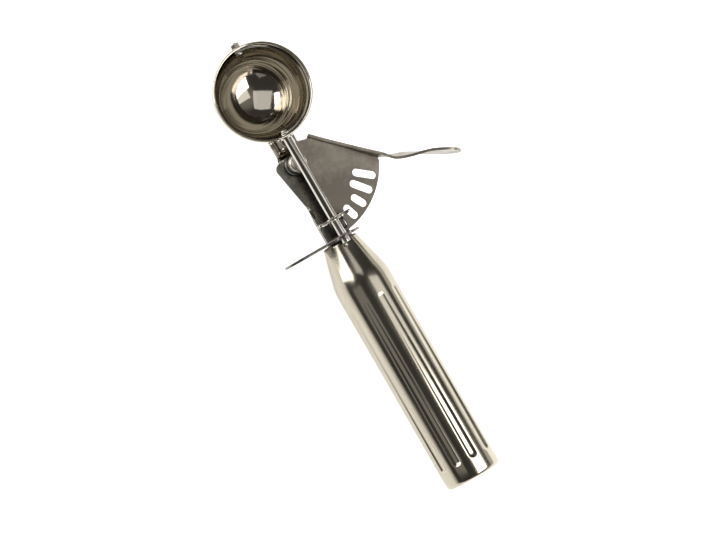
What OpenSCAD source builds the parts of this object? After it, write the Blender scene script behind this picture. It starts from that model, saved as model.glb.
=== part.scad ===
// Lever ice cream scoop (thumb disher).
// The scoop lies on its back: +Y runs from the handle's end to the bowl, +Z is the side that the
// bowl opens to, and the thumb lever is on the +X side. The origin is the centre of the handle's
// end face, on the handle's axis. Millimetres.

/* [Handle] */
// Outside diameter of the handle tube
handle_d = 25.4; // [22:0.1:32]
// Length of the handle from its end face to its mouth
handle_len = 115.2; // [100:0.1:140]
// Wall of the handle tube
handle_wall = 1.2; // [1:0.1:1.8]
// Diameter of the handle's mouth, where the frame enters
mouth_d = 16.4; // [15.6:0.1:18]
// Slope of the tapered neck against the axis
neck_slope = 15; // [12:1:20]
// Radius of the shoulder between the straight tube and the neck
shoulder_r = 26; // [12:1:32]
// Rounding of the closed end's edge
end_round = 2; // [1:0.1:3]
// Number of grip flutes round the handle
flutes = 10; // [6:1:12]
// Radius of the tool that presses a flute
flute_tool_r = 3.2; // [2.6:0.1:4]
// Turn of the first flute from the side that the bowl opens to
flute_turn = 6; // [0:1:36]
// Depth of a flute at the end of the handle
flute_depth = 0.75; // [0.4:0.05:0.8]
// Depth of a flute where it runs out towards the neck
flute_runout = 0.25; // [0.1:0.05:0.4]
// Distance from the end face to the start of the flutes
flute_start = 6.8; // [5:0.1:12]
// Distance from the end of the flutes to the handle's mouth
flute_gap = 25.5; // [22:0.1:40]

/* [Bowl] */
// Inside diameter of the bowl
bowl_in_d = 41; // [34:0.1:46]
// Wall of the bowl
bowl_wall = 0.7; // [0.6:0.1:1.2]
// Height of the rim above the blade's axis
rim_lift = 4; // [3.8:0.1:6]
// Radius of the bead round the rim
rim_bead_r = 0.5; // [0.4:0.05:0.9]
// Distance from the handle's mouth to the bowl's centre
bowl_reach = 70.6; // [66:0.1:90]

/* [Sweep blade and rod] */
// Height of the rod's axis above the handle's axis
rod_lift = 11.5; // [11:0.1:14]
// Diameter of the blade rod
rod_d = 4; // [3.6:0.1:5]
// Diameter of the rod's two turned-down ends
spigot_d = 2.4; // [2:0.1:2.8]
// Width of the sweep blade
blade_w = 5; // [4:0.1:7]
// Thickness of the sweep blade
blade_t = 0.8; // [0.6:0.1:1.2]
// Gap between the sweep blade and the bowl
blade_gap = 0.35; // [0.3:0.05:0.6]
// Angle of the resting blade below the plane of the rod
blade_rest = 8; // [6:1:14]

/* [Lever] */
// Distance from the handle's mouth to the lever's pivot
pivot_reach = 37.4; // [36:0.1:44]
// Thickness of the lever, the frame and the finger guard
sheet_t = 1.2; // [1:0.1:1.6]
// Radius of the toothed edge of the lever
sector_r = 35.3; // [34.4:0.1:35.6]
// Distance of the star pinion from the lever's pivot
mesh_r = 28.2; // [27.8:0.1:28.6]
// Width of a slot
slot_w = 3.4; // [3:0.1:3.6]
// Distance from the pivot to the outer end of the slots
slot_out = 34.2; // [33:0.1:34.4]
// Distance from the pivot to the inner end of the short slots
slot_in_short = 26.8; // [24:0.1:26.8]
// Distance from the pivot to the inner end of the long slots
slot_in_long = 23.8; // [20:0.1:24.4]
// Turn of the lever at rest, past the place where a tooth gap is centred
mesh_turn = 1.4; // [0:0.1:2]
// Diameter of the pivot rivet's shank
pivot_d = 5; // [4:0.1:5.4]
// Diameter of the pivot rivet's head
pivot_head_d = 8; // [7.4:0.1:9]
// Height of the lever's flange at the thumb end
flange_h = 9.2; // [8:0.1:13]
// Width of the thumb rest
thumb_w = 15.6; // [12:0.1:18]
// Lean of the thumb rest's upper edge towards the handle, near the flange
thumb_lean = 17; // [0:1:20]

/* [Star pinion] */
// Tip diameter of the star pinion
star_d = 16; // [15.6:0.1:16.2]
// Thickness of the star pinion
star_t = 1.4; // [1:0.1:1.6]

/* [Finger guard] */
// Reach of the finger guard past the handle's axis, away from the lever
guard_reach = 26.3; // [20:0.1:34]
// Width of the finger tongue of the guard
guard_w = 15; // [12:0.1:18]
// Radius of the guard round the handle's mouth
guard_r = 10.2; // [9.6:0.1:12]

/* [Frame] */
// Width of the frame's channel, outside
channel_w = 11.2; // [10:0.1:11.6]
// Width of the frame across its shoulders
shoulder_w = 16.8; // [16.4:0.1:20]
// Width of the trough that carries the bowl, outside
trough_w = 11.4; // [10:0.1:13]
// Depth of the frame's web below the handle's axis
web_drop = 0.4; // [0.2:0.1:1]

/* [Return spring] */
// Wire of the return spring
wire_d = 0.8; // [0.6:0.05:0.85]
// Mean diameter of the return spring's coil
coil_d = 8.8; // [8.4:0.1:9.2]

/* [Hidden] */
$fn = 96;

eps = 0.02;             // overlap that makes a cut clean
fit_gap = 0.05;         // radial clearance of a running fit
seat_gap = 0.05;        // gap between faces that slide on each other

// Handle
handle_r = handle_d / 2;
mouth_r = mouth_d / 2;
lip_r = 1.6;                                        // rounding of the mouth's lip
neck_end = handle_len - lip_r;                      // end of the cone
shoulder_rise = shoulder_r * (1 - cos(neck_slope));
cone_len = (handle_r - shoulder_rise - mouth_r) / tan(neck_slope);
shoulder_end = neck_end - cone_len;                 // where the shoulder meets the cone
shoulder_start = shoulder_end - shoulder_r * sin(neck_slope);
flute_end = handle_len - flute_gap;
cap_t = 1.2;                                        // thickness of the end cap
plug_len = 18;
plug_end = handle_len - 1.4;                        // the plug stops just inside the mouth
plug_start = plug_end - plug_len;
plug_mid = plug_end - plug_len / 2;                 // the cross rivet's station
plug_r = mouth_r + (neck_end - plug_end) * tan(neck_slope) - handle_wall / cos(neck_slope) - seat_gap;
tang_rivet_r = 1.5;
tang_rivet_top = 5;                                 // its two ends, from the handle's axis
tang_rivet_low = -6;

// Main stations along Y
pivot_y = handle_len + pivot_reach;
bowl_y = handle_len + bowl_reach;
star_y = pivot_y - mesh_r;                          // middle of the star pinion
guard_y = handle_len + 0.4;                         // lower face of the finger guard
guard_lobe_r = spigot_d / 2 + 2.6;                  // lobe of the guard that carries the rod
rod_end = guard_y - 2 - 2 * seat_gap;               // the rod's end, inside its nut

// Heights
plate_drop = 7;                                     // rod axis to the middle of the lever's plate
plate_z = rod_lift - plate_drop - sheet_t / 2;      // underside of the lever's plate
plate_top = plate_z + sheet_t;
spring_room = 4.3;                                  // least height between web and lever
web_top = min(-web_drop, plate_z - spring_room);    // the web passes through the handle's mouth
web_z = web_top - sheet_t;

// Bowl and blade
bowl_in_r = bowl_in_d / 2;
bowl_out_r = bowl_in_r + bowl_wall;
blade_out_r = bowl_in_r - blade_gap;
blade_in_r = blade_out_r - blade_t;
lug_r = blade_w / 2;
spigot_r = spigot_d / 2;
rod_r = rod_d / 2;
bush_r = rod_r + 0.6;                               // outside of the rod's bush
tip_bush_r = spigot_r + 0.8;
bush_flange_r = bush_r + 0.3;
lug_set = 0.1;                                      // the flat lugs are set in from the strip
lug_bow = 0.15;                                     // and the strip bows in beside them
bush_flange_t = 0.8;
rivet_head_t = 0.8;
pin_head_r = spigot_r + 0.8;                        // heads inside the bowl
rod_head_r = spigot_r + 0.7;
sleeve_r = spigot_r + 0.6;                          // sleeve and nut on the rod's thin end
end_nut_t = 2.2;
washer_t = 0.4;
nut_t = 2;                                          // tip nut: thickness and width across flats
nut_af = 3.8;

// Lever
boss_r = 4.6;                                       // rounded end of the lever round the pivot
star_teeth = 8;
star_root_r = 4.2;
gear_ratio = 4;                                     // turns of the rod to one of the lever
tooth_pitch = 360 / star_teeth / gear_ratio;
slot_first = tooth_pitch / 2 + mesh_turn;           // angle of the first slot from -Y
slot_count = 5;
long_slots = 2;                                     // the last slots are the long ones
fold_angle = 45;                                    // the flange's run, turned from +X towards -Y
fold_dist = 12;                                     // pivot to the inner face of the flange
fold_start = 1.2;                                   // the flange's first and last station
fold_end = 33;
flange_h_start = 2.2;
flange_curve = 1.6;                                 // its height grows with this power
flange_steps = 10;
bend_r = 0.6;                                         // inner radius of the fold
fold_lap = 4;                                       // the fold's section reaches this far into the plate

// Thumb rest: two arcs that continue the flange
thumb_arc_1_r = 18;
thumb_turn_1 = 27;                                  // away from the handle
thumb_turn_2 = 14;                                  // back towards the handle
thumb_arc_2_len = 25.9;
thumb_arc_1_len = thumb_arc_1_r * thumb_turn_1 * PI / 180;
thumb_arc_2_r = thumb_arc_2_len / (thumb_turn_2 * PI / 180);
thumb_len = thumb_arc_1_len + thumb_arc_2_len;
thumb_tip_r = 7;                                    // rounding of the tip
thumb_tip_h = 1.5;                                  // half height of the last section
thumb_low = 3;                                      // lower edge of the thumb rest at its tip
thumb_root_low = plate_top + bend_r;                // lower edge where it leaves the flange
thumb_root_top = plate_z + flange_h;
thumb_steps = 24;
lean_full = [0.18, 0.25];                           // shares of its length with the full lean
lean_none = 0.65;                                   // and from here on it stands upright
tip_steps = 8;
thumb_overlap = 1.5;                                // the rest starts this far inside the flange
thumb_inset = 0.04;                                 // and is thinner there by this on each face

// Frame
wall_h = 3.5;                                       // height of the channel's flanges over the web
flange_top = web_top + wall_h;
channel_start = handle_len + 18.8;                  // where the flanges begin to rise
ramp_len = 6;
tang_w = 8;
tang_len = 56;
waist_w = 9.6;                                      // narrowest place of the web
trough_r = trough_w / 2;
trough_start = pivot_y + 4;
trough_rise = 1.4;                                  // straight sides above the half-round
trough_end = bowl_y - bowl_in_r / 2;                // it ends under the bowl
shoulder_y = pivot_y + 0.6;                         // widest place of the web
shoulder_in = 0.6;                                  // its corner, cut back along X and Y
shoulder_up = 1.6;

// Spring and the pins that it works on
coil_r = coil_d / 2;
pin_r = 1;
pin_ring = 6.9;                                     // distance of the pins from the pivot
pin_short = 0.6;                                    // the frame's pins stop this far under the lever
stud_angle = -14;
stop_angle = stud_angle + 17.6;
coil_turns = 4;
arm_len = sqrt(pin_ring * pin_ring - coil_r * coil_r);
arm_angle = acos(coil_r / pin_ring);
arm_clear = asin((pin_r + wire_d / 2 + 0.1) / pin_ring);
moving_arm = stud_angle - arm_clear - 2;            // where the arms end
fixed_arm = 276;
anchor_angle = fixed_arm - arm_clear - 2;
helix_start = fixed_arm + arm_angle;
helix_end = moving_arm - arm_angle + coil_turns * 360;
coil_low = web_top + 0.75;
coil_high = plate_z - 0.8;
spacer_r = coil_r - wire_d / 2 - 0.4;

// ---------------------------------------------------------------- helpers

// Turns a profile of (radius, station) points about the Y axis.
module along_y() {
    rotate([-90, 0, 0])
        children();
}

// A cylinder along Y, from station y0.
module rod_y(r, y0, len) {
    translate([0, y0, 0])
        along_y()
            cylinder(r = r, h = len);
}

// A cylinder along Z at station y.
module rod_z(r, y, z0, z1) {
    translate([0, y, z0])
        cylinder(r = r, h = z1 - z0);
}

// An outline in X and Z, made thick along Y from station y0.
module slab_y(y0, t) {
    translate([0, y0 + t, 0])
        rotate([90, 0, 0])
            linear_extrude(t)
                children();
}

// Moves things from the rod's axis to their place.
module on_rod() {
    translate([0, 0, rod_lift])
        children();
}

// Moves things from the lever's pivot to their place.
module at_pivot() {
    translate([0, pivot_y, 0])
        children();
}

// A pin that stands on the ring of pins round the pivot.
module ring_pin(angle, z0, z1) {
    at_pivot()
        rotate(angle)
            translate([pin_ring, 0, z0])
                cylinder(r = pin_r, h = z1 - z0);
}

// Points along an arc about a centre.
function arc_points(cx, cy, r, a0, a1, steps) =
    [for (i = [0:steps]) let (a = a0 + (a1 - a0) * i / steps) [cx + r * cos(a), cy + r * sin(a)]];

// Outline of the handle's shoulder and neck, moved inwards by the distance given.
function neck_points(inset, top) = concat(
    [[handle_r - inset, shoulder_start]],
    arc_points(handle_r - shoulder_r, shoulder_start, shoulder_r - inset, 2, neck_slope, 8),
    [[neck_radius(top) - inset / cos(neck_slope), top]]
);

// Outside radius of the neck's cone at a station.
function neck_radius(y) = mouth_r + (neck_end - y) * tan(neck_slope);

// A closed skin over rings that all have the same number of points.
module skin(rings) {
    n = len(rings[0]);
    last = len(rings) - 1;
    points = [for (ring = rings) for (p = ring) p];
    sides = [
        for (i = [0:last - 1]) for (j = [0:n - 1])
            let (a = i * n + j, b = i * n + (j + 1) % n)
                for (face = [[a, b, b + n], [a, b + n, a + n]]) face
    ];
    ends = [[for (j = [n - 1:-1:0]) j], [for (j = [0:n - 1]) last * n + j]];
    polyhedron(points = points, faces = concat(sides, ends));
}

// ---------------------------------------------------------------- handle

module handle_outline() {
    polygon(concat(
        [[0, 0]],
        arc_points(handle_r - end_round, end_round, end_round, -90, 0, 8),
        neck_points(0, neck_end),
        arc_points(mouth_r - lip_r, neck_end, lip_r, 0, 90, 6),
        [[0, handle_len]]
    ));
}

module flute_cutters() {
    centre = handle_r + flute_tool_r;
    run = flute_end - flute_start - 2 * flute_tool_r;
    tilt = atan((flute_depth - flute_runout) / run);
    for (i = [0:flutes - 1])
        rotate([0, flute_turn + i * 360 / flutes, 0])
            translate([0, flute_start + flute_tool_r, centre - flute_depth])
                rotate([tilt, 0, 0]) {
                    rod_y(flute_tool_r, 0, run);
                    sphere(r = flute_tool_r);
                    translate([0, run, 0])
                        sphere(r = flute_tool_r);
                }
}

module handle_tube() {
    color("gainsboro")
        difference() {
            along_y()
                rotate_extrude()
                    handle_outline();
            along_y()
                rotate_extrude()
                    polygon(concat(
                        [[0, cap_t]],
                        [[handle_r - handle_wall - end_round / 2, cap_t]],
                        [[handle_r - handle_wall, cap_t + end_round / 2]],
                        neck_points(handle_wall, handle_len + eps),
                        [[0, handle_len + eps]]
                    ));
            rod_y(handle_r - end_round, -eps, cap_t + 2 * eps);
            flute_cutters();
        }
}

module handle_end_cap() {
    color("silver")
        rod_y(handle_r - end_round, 0, cap_t);
}

module neck_plug() {
    color("dimgray")
        difference() {
            rod_y(plug_r, plug_start, plug_len);
            slab_y(plug_start - eps, plug_len + 2 * eps)
                channel_section(seat_gap);
            rod_z(tang_rivet_r, plug_mid, -handle_r, handle_r);
        }
}

module tang_rivet() {
    color("silver")
        rod_z(tang_rivet_r, plug_mid, tang_rivet_low, tang_rivet_top);
}

// ---------------------------------------------------------------- finger guard

module guard_outline() {
    circle(r = guard_r);
    translate([-guard_reach + guard_w / 2, 0])
        circle(d = guard_w);
    translate([-guard_reach + guard_w / 2, -guard_w / 2])
        square([guard_reach - guard_w / 2, guard_w]);
    translate([-guard_lobe_r, 0])
        square([2 * guard_lobe_r, rod_lift]);
    translate([0, rod_lift])
        circle(r = guard_lobe_r);
}

module finger_guard() {
    color("lightgray")
        difference() {
            slab_y(guard_y, sheet_t)
                guard_outline();
            slab_y(guard_y - eps, sheet_t + 2 * eps)
                channel_section(seat_gap);
            on_rod()
                rod_y(spigot_r + fit_gap, guard_y - eps, sheet_t + 2 * eps);
        }
}

// ---------------------------------------------------------------- frame

// Section of the frame's channel in X and Z, made larger by a gap.
module channel_section(gap) {
    half = channel_w / 2 + gap;
    inner = channel_w / 2 - sheet_t - gap;
    translate([-half, web_z - gap])
        square([2 * half, sheet_t + 2 * gap]);
    for (side = [-1, 1])
        translate([side * (half + inner) / 2 - (half - inner) / 2, web_z - gap])
            square([half - inner, sheet_t + wall_h + 2 * gap]);
}

module web_outline() {
    polygon([
        [-channel_w / 2, handle_len - plug_len],
        [channel_w / 2, handle_len - plug_len],
        [channel_w / 2, channel_start - ramp_len],
        [waist_w / 2, channel_start],
        [shoulder_w / 2, shoulder_y],
        [shoulder_w / 2 - shoulder_in, shoulder_y + shoulder_up],
        [trough_r, trough_start + shoulder_up],
        [trough_r, trough_start + 2 * shoulder_up],
        [-trough_r, trough_start + 2 * shoulder_up],
        [-trough_r, trough_start + shoulder_up],
        [-shoulder_w / 2 + shoulder_in, shoulder_y + shoulder_up],
        [-shoulder_w / 2, shoulder_y],
        [-waist_w / 2, channel_start],
        [-channel_w / 2, channel_start - ramp_len]
    ]);
}

// Side view of a channel flange, in Y and Z.
module flange_outline() {
    polygon([
        [handle_len - plug_len, web_z],
        [channel_start, web_z],
        [channel_start, web_top],
        [channel_start - ramp_len, flange_top],
        [handle_len - plug_len, flange_top]
    ]);
}

// The trough: half-round below, straight-sided above, with a domed end towards the pivot.
module trough_solid(r, top) {
    dome_y = trough_start + trough_r;
    len = bowl_y - dome_y;
    translate([0, 0, web_top]) {
        rod_y(r, dome_y, len);
        translate([0, dome_y, 0])
            sphere(r = r);
        translate([-r, dome_y - trough_r + sheet_t, 0])
            cube([2 * r, len + trough_r - sheet_t, top]);
    }
}

module shank_frame() {
    color("dimgray")
        difference() {
            union() {
                translate([0, 0, web_z])
                    linear_extrude(sheet_t)
                        web_outline();
                for (side = [-1, 1])
                    translate([side * (channel_w / 2 - sheet_t / 2) - sheet_t / 2, 0, 0])
                        rotate([90, 0, 90])
                            linear_extrude(sheet_t)
                                flange_outline();
                translate([-tang_w / 2, handle_len - tang_len, web_z])
                    cube([tang_w, tang_len - plug_len + 1, sheet_t]);
                trough_solid(trough_r, trough_rise);
            }
            trough_solid(trough_r - sheet_t, trough_rise + handle_r);
            translate([-trough_r - eps, trough_start - 1, web_top + trough_rise])
                cube([2 * trough_r + 2 * eps, bowl_y - trough_start, handle_r]);
            translate([-trough_r - eps, trough_start - 1, web_top])
                cube([2 * trough_r + 2 * eps, sheet_t + 1, trough_rise + 1]);
            translate([0, bowl_y, rod_lift])
                sphere(r = bowl_out_r + eps);
            translate([-handle_r, trough_end, web_z - handle_r])
                cube([handle_d, bowl_out_r, rod_lift + handle_r]);
            at_pivot()
                translate([0, 0, web_z - eps])
                    cylinder(d = pivot_d, h = sheet_t + 2 * eps);
            ring_pin(stop_angle, web_z - eps, web_top + eps);
            ring_pin(anchor_angle, web_z - eps, web_top + eps);
            rod_z(tang_rivet_r, plug_mid, web_z - eps, web_top + eps);
        }
}

// ---------------------------------------------------------------- bowl

module bowl() {
    color("silver")
        translate([0, bowl_y, rod_lift])
            difference() {
                union() {
                    difference() {
                        sphere(r = bowl_out_r);
                        cylinder(r = bowl_out_r + 1, h = bowl_out_r + 1);
                    }
                    cylinder(r = bowl_out_r, h = rim_lift);
                    translate([0, 0, rim_lift - rim_bead_r])
                        rotate_extrude()
                            translate([bowl_out_r - rim_bead_r / 3, 0])
                                circle(r = rim_bead_r, $fn = 32);
                }
                sphere(r = bowl_in_r);
                cylinder(r = bowl_in_r, h = rim_lift + 1);
                rod_y(bush_r, -bowl_out_r - 1, bowl_out_r);
                rod_y(tip_bush_r, 1, bowl_out_r);
            }
}

// Bush in the bowl's near wall, which the rod turns in.
module rod_bush() {
    inner_y = bowl_y - blade_out_r - seat_gap * 2;
    color("goldenrod")
        on_rod()
            difference() {
                union() {
                    rod_y(bush_r, bowl_y - bowl_out_r - bush_flange_t,
                        inner_y - bowl_y + bowl_out_r + bush_flange_t);
                    rod_y(bush_flange_r, bowl_y - bowl_out_r - bush_flange_t, bush_flange_t - 0.02);
                }
                rod_y(rod_r + fit_gap, bowl_y - bowl_out_r - 2, 4);
            }
}

// Bush in the bowl's far wall, round the tip pin.
module tip_bush() {
    start_y = bowl_y + blade_out_r + seat_gap * 2;
    color("goldenrod")
        on_rod()
            difference() {
                rod_y(tip_bush_r, start_y, bowl_y + bowl_out_r - start_y);
                rod_y(spigot_r, start_y - 1, 4);
            }
}

module tip_washer() {
    color("silver")
        on_rod()
            difference() {
                rod_y(nut_af / 2 + 0.3, bowl_y + bowl_out_r + eps, washer_t - eps);
                rod_y(spigot_r, bowl_y + bowl_out_r - 1, washer_t + 2);
            }
}

module tip_nut() {
    nut_y = bowl_y + bowl_out_r + washer_t;
    color("silver")
        on_rod()
            difference() {
                translate([0, nut_y, 0])
                    along_y()
                        cylinder(d = nut_af / cos(30), h = nut_t, $fn = 6);
                rod_y(spigot_r, nut_y - 1, nut_t + 2);
            }
}

module tip_pin() {
    head_y = bowl_y + blade_in_r - lug_bow - seat_gap - rivet_head_t;
    end_y = bowl_y + bowl_out_r + washer_t + nut_t + 0.4;
    color("gray")
        on_rod() {
            rod_y(pin_head_r, head_y, rivet_head_t);
            rod_y(spigot_r, head_y, end_y - head_y);
        }
}

// ---------------------------------------------------------------- blade and rod

module sweep_blade() {
    color("lightgray")
        translate([0, bowl_y, rod_lift])
            difference() {
                union() {
                    rotate([0, blade_rest, 0])
                        rotate(-90)
                            rotate_extrude(angle = 180)
                                translate([blade_in_r, -blade_w / 2])
                                    square([blade_t, blade_w]);
                    rod_y(lug_r, blade_in_r - lug_set, blade_t);
                    rod_y(lug_r, -blade_out_r + lug_set, blade_t);
                }
                rod_y(spigot_r + fit_gap, 1, bowl_out_r);
                rod_y(spigot_r, -bowl_out_r, bowl_out_r);
            }
}

module blade_rod() {
    lug_out = bowl_y - blade_out_r;
    lug_in = bowl_y - blade_in_r + lug_bow;
    star_top = star_y + star_t / 2;
    color("whitesmoke")
        on_rod() {
            rod_y(rod_r, star_top, lug_out - star_top);
            rod_y(spigot_r, rod_end, lug_in - rod_end);
            rod_y(rod_head_r, lug_in, rivet_head_t);
        }
}

// One tooth: half widths at the root, below the tip and at the tip.
module star_tooth() {
    star_r = star_d / 2;
    root = 1.25;
    flank = 0.85;
    tip = 0.4;
    tip_len = 0.6;
    polygon([[0, -root], [star_root_r, -root], [star_r - tip_len, -flank], [star_r, -tip],
             [star_r, tip], [star_r - tip_len, flank], [star_root_r, root], [0, root]]);
}

module star_outline() {
    for (i = [0:star_teeth - 1])
        rotate(-(i + 0.5) * 360 / star_teeth + gear_ratio * mesh_turn)
            star_tooth();
    circle(r = star_root_r);
}

module star_pinion() {
    color("gray")
        on_rod()
            difference() {
                slab_y(star_y - star_t / 2, star_t)
                    star_outline();
                rod_y(spigot_r, star_y - star_t, 2 * star_t);
            }
}

module pinion_sleeve() {
    sleeve_y = guard_y + sheet_t + seat_gap;
    color("gray")
        on_rod()
            difference() {
                rod_y(sleeve_r, sleeve_y, star_y - star_t / 2 - sleeve_y);
                rod_y(spigot_r, sleeve_y - 1, star_y - sleeve_y + 1);
            }
}

module rod_end_nut() {
    color("gray")
        on_rod()
            difference() {
                rod_y(sleeve_r, guard_y - seat_gap - end_nut_t, end_nut_t);
                rod_y(spigot_r, rod_end, end_nut_t + 1);
            }
}

// ---------------------------------------------------------------- lever

// Outline of the lever's plate about the pivot.
module plate_outline() {
    edge_x = -0.5;                                  // the straight edge under the rod
    back_y = 9.6;                                   // the edge behind the pivot slopes from here
    back_x = 20;                                    // to here
    back_low = 3.9;
    far = 40;
    difference() {
        intersection() {
            circle(r = sector_r, $fn = 180);
            rotate(-fold_angle)
                translate([-sector_r, -far])
                    square([2 * sector_r + fold_start, far + fold_dist - bend_r + eps]);
            translate([edge_x, -far])
                square([far, far + back_y]);
        }
        polygon([[edge_x - 1, back_y + 0.2], [back_x, back_low], [far, far], [edge_x - 1, far]]);
    }
    circle(r = boss_r);
}

module slot(angle, inner) {
    rotate(angle - 90) {
        for (r = [inner + slot_w / 2, slot_out - slot_w / 2])
            translate([r, 0])
                circle(d = slot_w);
        translate([inner + slot_w / 2, -slot_w / 2])
            square([slot_out - inner - slot_w, slot_w]);
    }
}

// Section of the fold and its flange: x is the distance from the pivot, y the height.
module fold_section() {
    difference() {
        union() {
            translate([fold_dist - bend_r, 0])
                intersection() {
                    translate([0, bend_r + sheet_t])
                        circle(r = bend_r + sheet_t, $fn = 48);
                    square([bend_r + sheet_t, bend_r + sheet_t]);
                }
            translate([fold_dist - bend_r - fold_lap, 0])
                square([fold_lap + eps, sheet_t]);
            translate([fold_dist, bend_r + sheet_t])
                square([sheet_t, flange_h - bend_r - sheet_t]);
        }
        translate([fold_dist - bend_r, bend_r + sheet_t])
            circle(r = bend_r, $fn = 48);
    }
}

module flange() {
    intersection() {
        rotate(-fold_angle)
            translate([fold_start, 0, 0])
                rotate([90, 0, 90])
                    linear_extrude(fold_end - fold_start)
                        fold_section();
        rotate(-fold_angle)
            translate([0, fold_dist + 10, 0])
                rotate([90, 0, 0])
                    linear_extrude(20)
                        polygon(concat(
                            [[fold_start - 1, -1], [fold_end + 1, -1], [fold_end + 1, flange_h]],
                            [for (i = [flange_steps:-1:0]) [
                                mix(fold_start, fold_end, i / flange_steps),
                                mix(flange_h_start, flange_h, pow(i / flange_steps, flange_curve))]],
                            [[fold_start - 1, flange_h_start]]
                        ));
    }
}

// The thumb rest's centre line, in the plane of the lever, and its direction.
function thumb_dir(s) = s < thumb_arc_1_len
    ? -fold_angle + thumb_turn_1 * max(0, s) / thumb_arc_1_len
    : -fold_angle + thumb_turn_1 - thumb_turn_2 * (s - thumb_arc_1_len) / thumb_arc_2_len;

function thumb_root() = let (a = -fold_angle, d = fold_dist + sheet_t / 2)
    [fold_end * cos(a) - d * sin(a), fold_end * sin(a) + d * cos(a)];

function thumb_point(s) = s <= 0
    ? thumb_root() + s * [cos(fold_angle), -sin(fold_angle)]
    : s <= thumb_arc_1_len
    ? thumb_root() + arc_step(-fold_angle, thumb_dir(s), thumb_arc_1_r)
    : thumb_point(thumb_arc_1_len)
        + arc_step(thumb_dir(thumb_arc_1_len), thumb_dir(s), thumb_arc_2_r);

// Step along an arc of radius r while the direction turns from a0 to a1.
function arc_step(a0, a1, r) = a1 >= a0
    ? r * [sin(a1) - sin(a0), cos(a0) - cos(a1)]
    : r * [sin(a0) - sin(a1), cos(a1) - cos(a0)];

function mix(a, b, u) = a + (b - a) * u;
function ease(u) = u * u * (3 - 2 * u);

// Half height of the thumb rest, rounded at the tip.
function thumb_half(s) =
    let (u = ease(max(0, s) / thumb_len),
         full = mix((thumb_root_top - thumb_root_low) / 2, thumb_w / 2, u),
         past = s - (thumb_len - thumb_tip_r),
         keep = past <= 0 ? 1 : sqrt(max(0, 1 - pow(past / thumb_tip_r, 2))))
    max(thumb_tip_h, full * keep) - (s <= 0 ? thumb_inset : 0);

// Lean of the thumb rest: it grows out of the flange, and goes back to nothing before the tip.
function thumb_lean_at(s) =
    let (u = max(0, s) / thumb_len)
    thumb_lean * ease(min(1, u / lean_full[0]))
        * (1 - ease(min(1, max(0, (u - lean_full[1]) / (lean_none - lean_full[1])))));

function thumb_mid(s) = mix((thumb_root_top + thumb_root_low) / 2, thumb_low + thumb_w / 2,
    ease(max(0, s) / thumb_len));

function thumb_ring(s) =
    let (p = thumb_point(s), a = thumb_dir(s), h = thumb_half(s), z = thumb_mid(s),
         t = sheet_t / 2 - (s <= 0 ? thumb_inset : 0),
         lean = thumb_lean_at(s),
         side = [-sin(a), cos(a)])
    [for (c = [[-1, -1], [-1, 1], [1, 1], [1, -1]])
        let (off = c[0] * t * cos(lean) - c[1] * h * sin(lean),
             up = c[1] * h * cos(lean) + c[0] * t * sin(lean))
        [p[0] + side[0] * off, p[1] + side[1] * off, z + up]];

module thumb_rest() {
    straight = thumb_len - thumb_tip_r;
    stations = concat(
        [-thumb_overlap],
        [for (i = [0:thumb_steps]) straight * i / thumb_steps],
        [for (i = [1:tip_steps]) straight + thumb_tip_r * sin(90 * i / tip_steps)]
    );
    skin([for (s = stations) thumb_ring(s)]);
}

module lever() {
    color("rosybrown")
        at_pivot() {
            difference() {
                translate([0, 0, plate_z])
                    linear_extrude(sheet_t)
                        plate_outline();
                translate([0, 0, plate_z - 1])
                    cylinder(d = pivot_d + 2 * fit_gap, h = sheet_t + 2);
                translate([0, 0, plate_z - 1])
                    linear_extrude(sheet_t + 2)
                        for (i = [0:slot_count - 1])
                            slot(slot_first + i * tooth_pitch,
                                i < slot_count - long_slots ? slot_in_short : slot_in_long);
            }
            translate([0, 0, plate_z])
                flange();
            thumb_rest();
        }
}

module lever_stud() {
    color("gray")
        ring_pin(stud_angle, web_top + 0.5, plate_z);
}

module pivot_rivet() {
    head_z = plate_top + washer_t + 2 * seat_gap;
    head_t = 2.4;
    back_t = 1.2;
    bevel = 0.8;
    color("gray")
        at_pivot() {
            translate([0, 0, web_z - back_t])
                cylinder(d = pivot_d, h = head_z + head_t - web_z + back_t);
            translate([0, 0, head_z])
                cylinder(d = pivot_head_d, h = head_t - bevel);
            translate([0, 0, head_z + head_t - bevel])
                cylinder(d1 = pivot_head_d, d2 = pivot_head_d - 2 * bevel, h = bevel);
            translate([0, 0, web_z - back_t])
                cylinder(d = pivot_head_d - bevel, h = back_t);
        }
}

module pivot_ring(r, z0, z1) {
    at_pivot()
        translate([0, 0, z0])
            difference() {
                cylinder(r = r, h = z1 - z0);
                translate([0, 0, -1])
                    cylinder(d = pivot_d + 2 * fit_gap, h = z1 - z0 + 2);
            }
}

module pivot_spacer() {
    color("goldenrod")
        pivot_ring(spacer_r, web_top, plate_z - seat_gap);
}

module pivot_washer() {
    color("silver")
        pivot_ring(pivot_head_d / 2 + 0.2, plate_top + seat_gap, plate_top + seat_gap + washer_t);
}

// ---------------------------------------------------------------- return spring

function coil_point(a) = [
    coil_r * cos(a), coil_r * sin(a),
    mix(coil_low, coil_high, (a - helix_start) / (helix_end - helix_start))
];

function tangent(a) = [-sin(a), cos(a), 0];

function wire_ring(p, a, n = 8) = [for (i = [0:n - 1])
    let (b = 360 * i / n)
    p + wire_d / 2 * (cos(b) * [cos(a), sin(a), 0] + sin(b) * [0, 0, 1])];

module return_spring() {
    steps = 72;
    rings = concat(
        [wire_ring(coil_point(helix_start) - arm_len * tangent(helix_start), helix_start)],
        [for (i = [0:steps]) let (a = mix(helix_start, helix_end, i / steps))
            wire_ring(coil_point(a), a)],
        [wire_ring(coil_point(helix_end) + arm_len * tangent(helix_end), helix_end)]
    );
    color("darkgray")
        at_pivot()
            skin(rings);
}

module spring_anchor() {
    color("gray")
        ring_pin(anchor_angle, web_z, plate_z - pin_short);
}

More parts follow.
